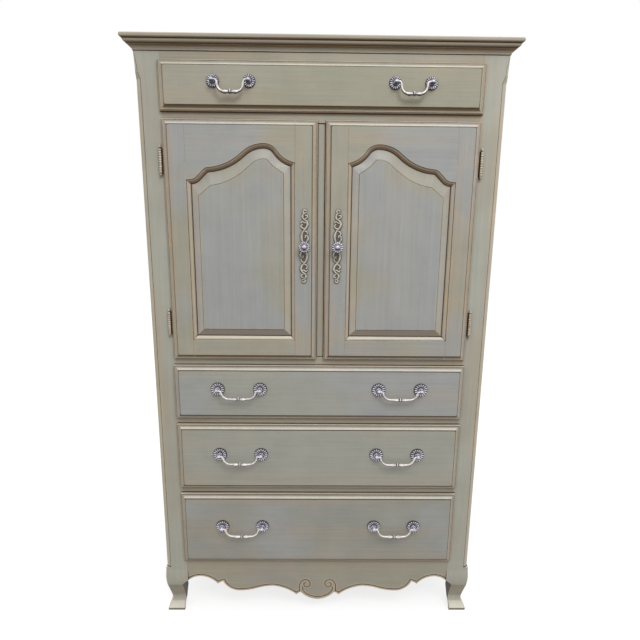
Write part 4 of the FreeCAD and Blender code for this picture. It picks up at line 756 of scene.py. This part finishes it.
def cast_metal(name, tones, dark, metal, reach=WASH_REACH, wash=1.0, hollows=(0.22, 0.7)):
    """A wiped casting in two tones; reach is how wide a hollow may be to keep the wash,
    and hollows the depths between which it goes from none to full."""
    finish = new_finish(name)
    where = finish.place()
    patchy = finish.noise(where, 160.0)
    sand = finish.noise(where, 1400.0, detail=2.0)
    near = finish.openness(reach)
    wide = finish.openness(reach * 3)
    # Faces that look down are darkened like the hollows: a painted shade.
    shaded_underside = (-finish.facing(Z)).step(0.0, 0.4)
    hollow = ((1 - near) + (1 - wide) * 0.5).step(*hollows).most(shaded_underside * 0.9) * wash
    colour = finish.mix(patchy.step(0.4, 0.68), *tones)
    return finish.surface({
        "Base Color": finish.mix(hollow, colour, dark),
        "Metallic": metal - metal * hollow,
        "Roughness": 0.34 + 0.2 * patchy + 0.2 * hollow,
        "Normal": finish.relief(sand + patchy, 0.0002, 0.25),
    })


pull_metal = cast_metal("pull_metal", CAST_TONES, PATINA, metal=0.25)
petal_metal = cast_metal("pull_petals", PETAL_TONES, PATINA, metal=0.25)
dark_metal = cast_metal("pull_patina", (UNWIPED, PATINA), PATINA, metal=0.1)
hinge_metal = cast_metal("hinge_metal", (HINGE_PALE, WARM), HINGE_BROWN, metal=0.15,
                         reach=6 * MM, hollows=(0.08, 0.36))
plate_metal = cast_metal("scroll_plate_metal", (PLATE_PALE, GREY_GREEN), LINE, metal=0.05,
                         reach=3 * MM, wash=0.9)
finish_nodes(hinge_metal, "hinge_case_leaves", "hinge_pins")
finish_nodes(hinge_metal, "left_door_hinge_leaves", "right_door_hinge_leaves")
print("castings: 5 finishes")

# %% [markdown]
# Helpers for the bench. An operator acts on whatever is selected, so every piece
# starts from an empty selection. A copy gets its place in its mesh, and its
# object stays at the origin, where the finishes expect it.

# %% Bench helpers
SAME_PLACE = 0.00001
SOFT_ANGLE = 50.0
ROD_ANGLE = 70.0


def pick(*pieces):
    """Selects these pieces alone; the first is the active one."""
    bpy.ops.object.select_all(action="DESELECT")
    for piece in pieces:
        piece.select_set(True)
    bpy.context.view_layer.objects.active = pieces[0]


def edit(piece):
    pick(piece)
    bpy.ops.object.mode_set(mode="EDIT")
    bpy.ops.mesh.select_all(action="SELECT")


def done(piece, angle=SOFT_ANGLE):
    """Leaves edit mode with faces outwards and round parts smooth."""
    bpy.ops.mesh.select_all(action="SELECT")
    bpy.ops.mesh.remove_doubles(threshold=SAME_PLACE)
    bpy.ops.mesh.normals_make_consistent(inside=False)
    bpy.ops.object.mode_set(mode="OBJECT")
    bpy.ops.object.shade_smooth_by_angle(angle=math.radians(angle))
    return piece


def joined(name, *pieces):
    """Several pieces made one mesh."""
    pick(*pieces)
    bpy.ops.object.join()
    pieces[0].name = name
    return pieces[0]


def dress(material, *pieces):
    """Gives new pieces their finish."""
    for piece in pieces:
        piece.data.materials.append(material)


def copied(piece, name, place):
    """A copy with its own mesh, carried by a matrix; its object stays at the origin."""
    twin = piece.copy()
    twin.data = piece.data.copy()
    twin.name = name
    twin.data.transform(place)
    scene.collection.objects.link(twin)
    return twin


# %% [markdown]
# Round parts come off a lathe: a disc is extruded forward ring by ring, and each
# ring is resized to the next radius. The axis of the work is Y, towards the
# front. A bead that runs around the work is a torus on the same axis.

# %% Turned parts
FORWARD = (math.radians(90), 0.0, 0.0)
LATHE_SIDES = 40
BEAD_SIDES = 10


def set_forward(piece, front):
    """Fixes the turn of a new primitive and moves it forward, ready to be shaped."""
    bpy.ops.object.transform_apply(location=True, rotation=True, scale=True)
    edit(piece)
    bpy.ops.transform.translate(value=(0.0, -front * MM, 0.0))


def turned(name, outline, across=1.0, deep=1.0):
    """A lathe-turned piece. The outline is (radius, distance to the front) in millimetres,
    or as shares of across and deep."""
    stations = [(radius * across, front * deep) for radius, front in outline]
    radius, front = stations[0]
    piece = primitive(name, bpy.ops.mesh.primitive_circle_add, vertices=LATHE_SIDES,
                      radius=radius * MM, fill_type="NGON", rotation=FORWARD)
    set_forward(piece, front)
    for next_radius, next_front in stations[1:]:
        step = (0.0, (front - next_front) * MM, 0.0)
        bpy.ops.mesh.extrude_region_move(TRANSFORM_OT_translate={"value": step})
        share = next_radius / radius
        middle = (0.0, -next_front * MM, 0.0)
        bpy.ops.transform.resize(value=(share, 1.0, share), center_override=middle)
        radius, front = next_radius, next_front
    return done(piece)


def ring(name, around, thickness, front):
    """A round bead that runs around the Y axis."""
    piece = primitive(name, bpy.ops.mesh.primitive_torus_add, rotation=FORWARD,
                      major_radius=around * MM, minor_radius=thickness * MM,
                      major_segments=LATHE_SIDES, minor_segments=BEAD_SIDES)
    set_forward(piece, front)
    return done(piece)


# %% [markdown]
# A petal could be drawn point by point, but a sphere is nearly there: it is
# stretched, and its outer half is widened to a drop with its point inwards.
# Leaned back and set off from the axis, it is spun into a full ring: Spin with
# duplicates repeats it without joining the copies.

# %% Petals
PETAL_SEGMENTS = 12
PETAL_RINGS = 8
PETAL_POINT = 0.45
PETAL_SPREAD = 0.65
CENTRE = (0.0, 0.0, 0.0)


def petals(name, count, inner, outer, height, front, lean, fullness):
    """A ring of drop-shaped petals between two radii, in millimetres; lean in degrees."""
    piece = primitive(name, bpy.ops.mesh.primitive_uv_sphere_add, segments=PETAL_SEGMENTS,
                      ring_count=PETAL_RINGS, radius=0.5 * MM)
    width = 2 * math.pi * outer / count * fullness
    edit(piece)
    bpy.ops.transform.resize(value=(width, height, outer - inner))
    bpy.ops.object.mode_set(mode="OBJECT")
    for vertex in piece.data.vertices:
        share = vertex.co.z / ((outer - inner) * MM) + 0.5
        vertex.co.x *= PETAL_POINT + PETAL_SPREAD * share
    edit(piece)
    bpy.ops.transform.rotate(value=-math.radians(lean), orient_axis="X", center_override=CENTRE)
    bpy.ops.transform.translate(value=(0.0, -front * MM, (inner + outer) / 2 * MM))
    sweep = 2 * math.pi * (count - 1) / count
    bpy.ops.mesh.spin(steps=count - 1, dupli=True, angle=sweep, center=CENTRE, axis=(0.0, 1.0, 0.0))
    return done(piece)


# %% [markdown]
# A rosette is a shallow dish that carries sixteen petals, eight smaller ones
# and a bead inside them, and a post with a round eye. The dish is dark and ends
# short of the petals, so the notches between their tips are dark too.

# %% Rosette
ROSETTE_PETALS = 16
ROSETTE_THICKNESS = 7.0
DISH = ((0.97, 0.0), (0.97, 0.1), (0.9, 0.2), (0.6, 0.42), (0.42, 0.58), (0.34, 0.86), (0.26, 0.92))
EYE_RADIUS = 5.8
POST_RADIUS = 3.4
EYE_TURN = ((-62, 0.47), (-35, 0.82), (-10, 0.985), (10, 0.985), (35, 0.82), (62, 0.47), (84, 0.1))


def rosette(radius, thick, reach):
    """One rosette with its post, centred on the Y axis and standing on y = 0."""
    dish = turned("rosette_dish", DISH, radius, thick)
    dress(dark_metal, dish)
    stations = [(POST_RADIUS, 0.5 * thick), (POST_RADIUS, thick)]
    for angle, share in EYE_TURN:
        stations.append((EYE_RADIUS * share, reach + EYE_RADIUS * math.sin(math.radians(angle))))
    post = turned("rosette_post", stations)
    flower = petals("rosette_petals", ROSETTE_PETALS, inner=0.2 * radius, outer=radius,
                    height=3.2, front=0.42 * thick, lean=16.0, fullness=0.72)
    heart = petals("rosette_heart", ROSETTE_PETALS // 2, inner=0.12 * radius, outer=0.4 * radius,
                   height=2.4, front=0.8 * thick, lean=20.0, fullness=0.9)
    bead = ring("rosette_bead", 0.25 * radius, thickness=0.9, front=0.98 * thick)
    dress(petal_metal, post, flower, heart, bead)
    return joined("rosette", post, flower, heart, bead, dish)


# %% [markdown]
# Each drawer has two pulls, so four rosettes. One is modelled at the size of the
# ready ones and copied to either side of both pivots, which are read from the
# joints; the four become one piece that rides on the drawer.

# %% Rosettes on the drawers
SIDES = ("left", "right")
DRAWER_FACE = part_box("drawer_2_front")[0].y


def joint_place(name):
    """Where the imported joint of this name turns."""
    return next(Vector(joint["pos_m"]) for joint in frame["joints"] if joint["name"] == name)


def pull_sizes(drawer):
    """Radius of the rosettes, half their spacing and reach of the posts, in millimetres."""
    low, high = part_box(f"{drawer}_rosettes")
    axis = joint_place(f"{drawer}_bail_right_swing")
    radius = (high.z - low.z) / 2
    half = high.x - radius - axis.x
    return radius / MM, half / MM, (DRAWER_FACE - axis.y) / MM


for drawer in DRAWERS:
    radius, half, reach = pull_sizes(drawer)
    pattern = rosette(radius, ROSETTE_THICKNESS, reach)
    set_of_four = []
    for side in SIDES:
        axis = joint_place(f"{drawer}_bail_{side}_swing")
        for end in (-half, half):
            place = Matrix.Translation((axis.x + end * MM, DRAWER_FACE, axis.z))
            set_of_four.append(copied(pattern, f"{drawer}_rosette", place))
    bpy.data.objects.remove(pattern)
    flowers = joined(f"{drawer}_petalled_rosettes", *set_of_four)
    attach(flowers, drawer)
    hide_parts(f"{drawer}_rosettes")
    print(drawer, "rosettes, spacing", round(2 * half), "mm")

# %% [markdown]
# The rods of bails, plates and grooves are Bezier curves with a round bevel,
# where the radius of each knot makes the rod swell. A chain of cylinders would
# show its joints.

# %% Cast rods
RINGS_PER_KNOT = 5


def cast_rod(name, knots, radius, roundness):
    """A cast rod through knots of (x, y, z, share of the radius), in millimetres."""
    rod = primitive(name, bpy.ops.curve.primitive_bezier_curve_add)
    spline = rod.data.splines[0]
    spline.bezier_points.add(len(knots) - 2)
    for knot, (x, y, z, share) in zip(spline.bezier_points, knots):
        knot.co = Vector((x, y, z)) * MM
        knot.handle_left_type = "AUTO"
        knot.handle_right_type = "AUTO"
        knot.radius = share
    rod.data.bevel_depth = radius * MM
    rod.data.bevel_resolution = roundness
    rod.data.resolution_u = RINGS_PER_KNOT
    rod.data.use_fill_caps = True
    bpy.ops.object.convert(target="MESH")
    rod = bpy.context.object
    edit(rod)
    return done(rod, ROD_ANGLE)


def mirrored(line):
    """The points of a line (x, z) on the other side of the middle, in reverse order."""
    return [(-x, z) for x, z in reversed(line)]


# %% [markdown]
# A bail hangs like a bowl. Its rod leaves the pivot level, turns down in a tight
# corner, runs straight and ends in a wide sweep. It swells beside the middle,
# where two leaves meet a ring between two dark collars. Its drop is read from
# the ready solid.

# %% Line of a bail
PIVOT_INSET = 1.0
BEND_ANGLE = 78.0
CORNER_SHARE = 0.2
CORNER_TURNS = (0.5, 1.0)
SWEEP_TURNS = (0.8, 0.6, 0.4, 0.2, 0.0)
SHORTEST_STRAIGHT = 2.0


def bowl(half, drop, bow):
    """Half the line of a bail, from its pivot to the middle: (x, z) in millimetres."""
    bend = math.radians(BEND_ANGLE)
    corner = CORNER_SHARE * drop
    sweep = bow * drop
    straight = (drop - (corner + sweep) * (1 - math.cos(bend))) / math.sin(bend)
    shoulder = half - EYE_RADIUS - PIVOT_INSET
    line = [(-half + PIVOT_INSET, 0.0), (-shoulder, 0.0)]
    for share in CORNER_TURNS:
        turn = bend * share
        line.append((-shoulder + corner * math.sin(turn), -corner * (1 - math.cos(turn))))
    start_x, start_z = line[-1]
    start_x += straight * math.cos(bend)
    start_z -= straight * math.sin(bend)
    if straight > SHORTEST_STRAIGHT:
        line.append((start_x, start_z))
    for share in SWEEP_TURNS:
        turn = bend * share
        fall = sweep * (math.cos(turn) - math.cos(bend))
        line.append((start_x + sweep * (math.sin(bend) - math.sin(turn)), start_z - fall))
    return line


# %% Bails
BAIL_ROD = 2.9
BAIL_ROUNDNESS = 4
SWELL = 0.3
SWELL_PLACE = 20.0
SWELL_REACH = 12.0
# Half of the leaves: place beside the middle, and thickness as a share of the rod's.
LEAF = ((-23, 0.6), (-19, 1.25), (-14, 1.75), (-9, 1.45), (-5.5, 0.85), (-3.4, 1.15), (-1.8, 1.5))
LEAF_TIP = LEAF[0][1]
LEAF_FRONT = 0.4
LEAF_SAG = 0.8
RING_RADIUS = 6.5
RING_BEAD = 1.6
COLLAR_PLACE = 3.0
COLLAR_RADIUS = 3.6
COLLAR_BEAD = 1.1
BOWS = {"drawer_1": 0.6}
USUAL_BOW = 0.95


def bead_across(x, z, around, thickness, material):
    """A ring that a rod along X passes through."""
    bead = ring("bail_ring", around, thickness, 0.0)
    dress(material, bead)
    edit(bead)
    bpy.ops.transform.rotate(value=math.radians(90), orient_axis="Z", center_override=CENTRE)
    bpy.ops.transform.translate(value=(x * MM, 0.0, z * MM))
    return done(bead)


def bail(half, drop, bow):
    """One bail, its pivot axis on the X axis."""
    left = bowl(half, drop, bow)
    knots = []
    for x, z in left + mirrored(left):
        swell = 1.0 + SWELL * max(0.0, 1 - abs(abs(x) - SWELL_PLACE) / SWELL_REACH)
        knots.append((x, 0.0, z, swell))
    rod = cast_rod("bail_rod", knots, BAIL_ROD, BAIL_ROUNDNESS)
    leaf = [(x, -LEAF_FRONT, -drop - LEAF_SAG * (share - LEAF_TIP), share) for x, share in LEAF]
    leaf += [(-x, y, z, share) for x, y, z, share in reversed(leaf)]
    leaves = cast_rod("bail_leaves", leaf, BAIL_ROD, BAIL_ROUNDNESS)
    dress(pull_metal, rod, leaves)
    pieces = [rod, leaves, bead_across(0.0, -drop, RING_RADIUS - RING_BEAD, RING_BEAD, pull_metal)]
    for x in (-COLLAR_PLACE, COLLAR_PLACE):
        pieces.append(bead_across(x, -drop, COLLAR_RADIUS, COLLAR_BEAD, dark_metal))
    return joined("bail", *pieces)


for drawer in DRAWERS:
    radius, half, reach = pull_sizes(drawer)
    axis = joint_place(f"{drawer}_bail_left_swing")
    drop = (axis.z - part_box(f"{drawer}_bail_left")[0].z) / MM - RING_RADIUS
    pattern = bail(half, drop, BOWS.get(drawer, USUAL_BOW))
    for side in SIDES:
        name = f"{drawer}_bail_{side}"
        handle = copied(pattern, f"{name}_cast", Matrix.Translation(joint_place(f"{name}_swing")))
        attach(handle, name)
        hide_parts(name)
    bpy.data.objects.remove(pattern)
    print(drawer, "bail drop", round(drop, 1), "mm")

# %% [markdown]
# A door knob is a flower too: a turned neck and button, and a ring of fourteen
# petals that lean back like the ribs of a melon. Ribs could be cut into a ball,
# but petals leave deep gaps for the patina.

# %% Knobs
KNOB_PETALS = 14
KNOB_NECK = ((0.52, 0.07), (0.52, 0.13), (0.36, 0.2), (0.33, 0.4), (0.52, 0.47), (0.88, 0.58),
             (0.94, 0.63), (0.8, 0.72), (0.5, 0.8))
KNOB_BUTTON = ((0.4, 0.78), (0.4, 0.88), (0.36, 0.935), (0.24, 0.975), (0.08, 0.998))


def knob(radius, reach):
    """A petalled knob, centred on the Y axis and standing on y = 0."""
    neck = turned("knob_neck", KNOB_NECK, radius, reach)
    dress(dark_metal, neck)
    button = turned("knob_button", KNOB_BUTTON, radius, reach)
    flower = petals("knob_petals", KNOB_PETALS, inner=0.25 * radius, outer=radius,
                    height=6.2, front=0.7 * reach, lean=24.0, fullness=0.98)
    collar = ring("knob_collar", 0.5 * radius, thickness=1.0, front=0.11 * reach)
    button_ring = ring("knob_button_ring", 0.52 * radius, thickness=0.8, front=0.83 * reach)
    dress(petal_metal, button, flower, collar, button_ring)
    return joined("knob", button, flower, collar, button_ring, neck)


knob_low, knob_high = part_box("left_door_knob")
knob_radius = (knob_high.x - knob_low.x) / 2 / MM
pattern = knob(knob_radius, (DRAWER_FACE - knob_low.y) / MM)
for side in SIDES:
    middle = centre(f"{side}_door_knob")
    place = Matrix.Translation((middle.x, DRAWER_FACE, middle.z))
    handle = copied(pattern, f"{side}_door_petalled_knob", place)
    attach(handle, f"{side}_door")
    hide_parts(f"{side}_door_knob")
bpy.data.objects.remove(pattern)
print("knobs:", round(2 * knob_radius, 1), "mm across")

# %% [markdown]
# The plate behind a knob is open scrollwork. It could be cut from a sheet, but a
# casting has round strokes, so each scroll is a rod, fat in the middle, that ends
# in a ball. The upper half is drawn once and turned for the lower one. The plate
# is then pressed to its thickness and seated on the door.

# %% Scroll plates
# Knots are (across, up, width): across and up as shares of half the plate's length.
SCROLLS = (
    ((0.0, 0.06, 0.8), (-0.062, 0.18, 1.1), (-0.07, 0.32, 1.3), (-0.01, 0.44, 1.0),
     (0.065, 0.53, 1.2), (0.085, 0.62, 1.4), (0.035, 0.7, 1.1), (-0.03, 0.745, 1.0),
     (-0.048, 0.815, 1.2), (-0.01, 0.88, 1.0), (0.04, 0.9, 0.8)),
    ((0.02, 0.745, 0.8), (0.072, 0.775, 1.0), (0.078, 0.83, 0.9), (0.035, 0.835, 0.7)),
    ((-0.01, 0.88, 0.8), (-0.03, 0.93, 1.0), (0.005, 0.975, 1.0), (0.045, 0.955, 0.8)),
    ((0.06, 0.64, 0.8), (0.0, 0.64, 1.0), (-0.05, 0.675, 1.0), (-0.085, 0.64, 0.8)),
    ((0.01, 0.475, 0.8), (-0.055, 0.5, 1.1), (-0.085, 0.55, 1.0), (-0.06, 0.59, 0.8)),
    ((0.045, 0.12, 0.9), (0.095, 0.18, 1.2), (0.095, 0.265, 1.1), (0.045, 0.3, 0.9),
     (0.03, 0.255, 0.7)),
    ((0.0, 0.43, 0.7), (0.062, 0.4, 1.0), (0.088, 0.345, 0.8)),
)
SCROLL_ROD = 0.0255
SCROLL_ROUNDNESS = 3
BALL_SHARE = 1.35
PLATE_PROUD = 0.6


def scroll_plate(half, thick):
    """The open plate, centred on the Y axis and standing this thick in front of y = 0."""
    rod = SCROLL_ROD * half
    pieces = []
    for scroll in SCROLLS:
        knots = [(across * half, 0.0, up * half, share) for across, up, share in scroll]
        pieces.append(cast_rod("scroll", knots, rod, SCROLL_ROUNDNESS))
        x, _, z, share = knots[-1]
        ball = primitive("scroll_ball", bpy.ops.mesh.primitive_ico_sphere_add, subdivisions=2,
                         radius=BALL_SHARE * share * rod * MM)
        edit(ball)
        bpy.ops.transform.translate(value=(x * MM, 0.0, z * MM))
        pieces.append(done(ball))
    upper = joined("scroll_half", *pieces)
    lower = copied(upper, "scroll_other_half", Matrix.Rotation(math.pi, 4, "Y"))
    plate = joined("scroll_plate", upper, lower)
    lowest = min(vertex.co.y for vertex in plate.data.vertices) / MM
    edit(plate)
    bpy.ops.transform.resize(value=(1.0, thick / -lowest, 1.0), center_override=CENTRE)
    return done(plate)


for side in SIDES:
    low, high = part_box(f"{side}_door_escutcheon")
    middle = (low + high) / 2
    half = (high.z - low.z) / 2 / MM
    plate = scroll_plate(half, (DRAWER_FACE - low.y) / MM + PLATE_PROUD)
    plate.name = f"{side}_door_scroll_plate"
    plate.data.transform(Matrix.Translation((middle.x, DRAWER_FACE, middle.z)))
    dress(plate_metal, plate)
    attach(plate, f"{side}_door")
    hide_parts(f"{side}_door_escutcheon")
    print(side, "scroll plate:", round(2 * half), "mm long")

# %% [markdown]
# The apron carries a carver's line: a groove that follows its lower edge, and a
# pair of scrolls in the middle. Bump would look flat from the side, so it is
# really cut. The edge is read off the ready board and moved inwards.

# %% Line of the engraving
GROOVE_INSET = 6.5
GROOVE_SPACING = 2.5
SAME_FACE = 0.00001
TOP_MARGIN = 5 * MM
CORNER_LIMIT = 0.6
BOARD_DOUBLES = 0.000001
FLAT_ANGLE = math.radians(0.5)

board = copied(nodes["apron"], "engraved_apron", Matrix.Identity(4))
board.parent = None
board.data.materials.clear()
dress(apron_paint, board)
edit(board)
bpy.ops.mesh.remove_doubles(threshold=BOARD_DOUBLES)
bpy.ops.mesh.dissolve_limited(angle_limit=FLAT_ANGLE)
bpy.ops.object.mode_set(mode="OBJECT")


def lower_edge(piece):
    """Corners of the front face along its shaped lower edge, from left to right, in mm."""
    corners = [vertex.co for vertex in piece.data.vertices]
    face_y = min(corner.y for corner in corners)
    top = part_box("apron")[1].z - TOP_MARGIN
    found = [corner for corner in corners if corner.y - face_y < SAME_FACE and corner.z < top]
    return sorted((corner.x / MM, corner.z / MM) for corner in found)


def moved_in(line, distance):
    """The line moved upwards into the board, square to itself."""
    moved = []
    for index in range(1, len(line) - 1):
        (x0, z0), (x, z), (x1, z1) = line[index - 1:index + 2]
        before = Vector((x - x0, z - z0)).normalized()
        after = Vector((x1 - x, z1 - z)).normalized()
        along = (before + after).normalized()
        spread = max(CORNER_LIMIT, along.dot(after))
        moved.append((x - along.y * distance / spread, z + along.x * distance / spread))
    return moved


def spaced(line, least):
    """The line with points closer than the least distance left out."""
    kept = [line[0]]
    for point in line[1:]:
        if math.dist(point, kept[-1]) >= least:
            kept.append(point)
    return kept


edge = moved_in(lower_edge(board), GROOVE_INSET)
print("engraved line:", len(edge), "points")

# %% [markdown]
# A round rod laid along the line is subtracted with a Boolean, which keeps the
# rod's own dark finish in the groove. The scrolls and the bridge between them are
# drawn for the left half, and mirrored.

# %% Engraved apron
GROOVE = 1.5
GROOVE_ROUNDNESS = 2
GROOVE_BROWN = srgb(84, 62, 42)
VOLUTE = ((-60, 72), (-61, 88), (-56, 107), (-41, 117.5), (-26.5, 109), (-25.5, 97), (-34, 89.5),
          (-43.5, 93.5), (-45, 102), (-38.5, 106))
BRIDGE = ((-49, 92), (-49.5, 81), (-42, 68.5), (-26, 57.5), (0, 52))
VOLUTE_ROOT = 58.0

thick_glaze = new_finish("glaze_in_groove")
patchy = thick_glaze.noise(thick_glaze.place(), 90.0)
patches = thick_glaze.mix(patchy.step(0.3, 0.7), LINE, GROOVE_BROWN)
thick_glaze.patterned(patches, patchy, roughness=0.5, depth=0.0003, strength=0.3)


def groove_rod(line):
    """A rod along the line on the painted face, for cutting the groove."""
    face_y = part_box("apron")[0].y / MM
    rod = cast_rod("groove", [(x, face_y, z, 1.0) for x, z in line], GROOVE, GROOVE_ROUNDNESS)
    dress(thick_glaze.owner, rod)
    return rod


left_line = spaced([point for point in edge if point[0] < -VOLUTE_ROOT], GROOVE_SPACING)
right_volute = [(-x, z) for x, z in VOLUTE]
bridge = [*BRIDGE, *mirrored(BRIDGE[:-1])]
for line in (left_line, mirrored(left_line), VOLUTE, right_volute, bridge):
    rod = groove_rod(line)
    pick(board)
    carve = board.modifiers.new("carve", "BOOLEAN")
    carve.object = rod
    carve.solver = "EXACT"
    carve.material_mode = "TRANSFER"
    bpy.ops.object.modifier_apply(modifier="carve")
    bpy.data.objects.remove(rod)
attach(board, "case")
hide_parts("apron")
print("apron:", len(board.data.polygons), "faces")
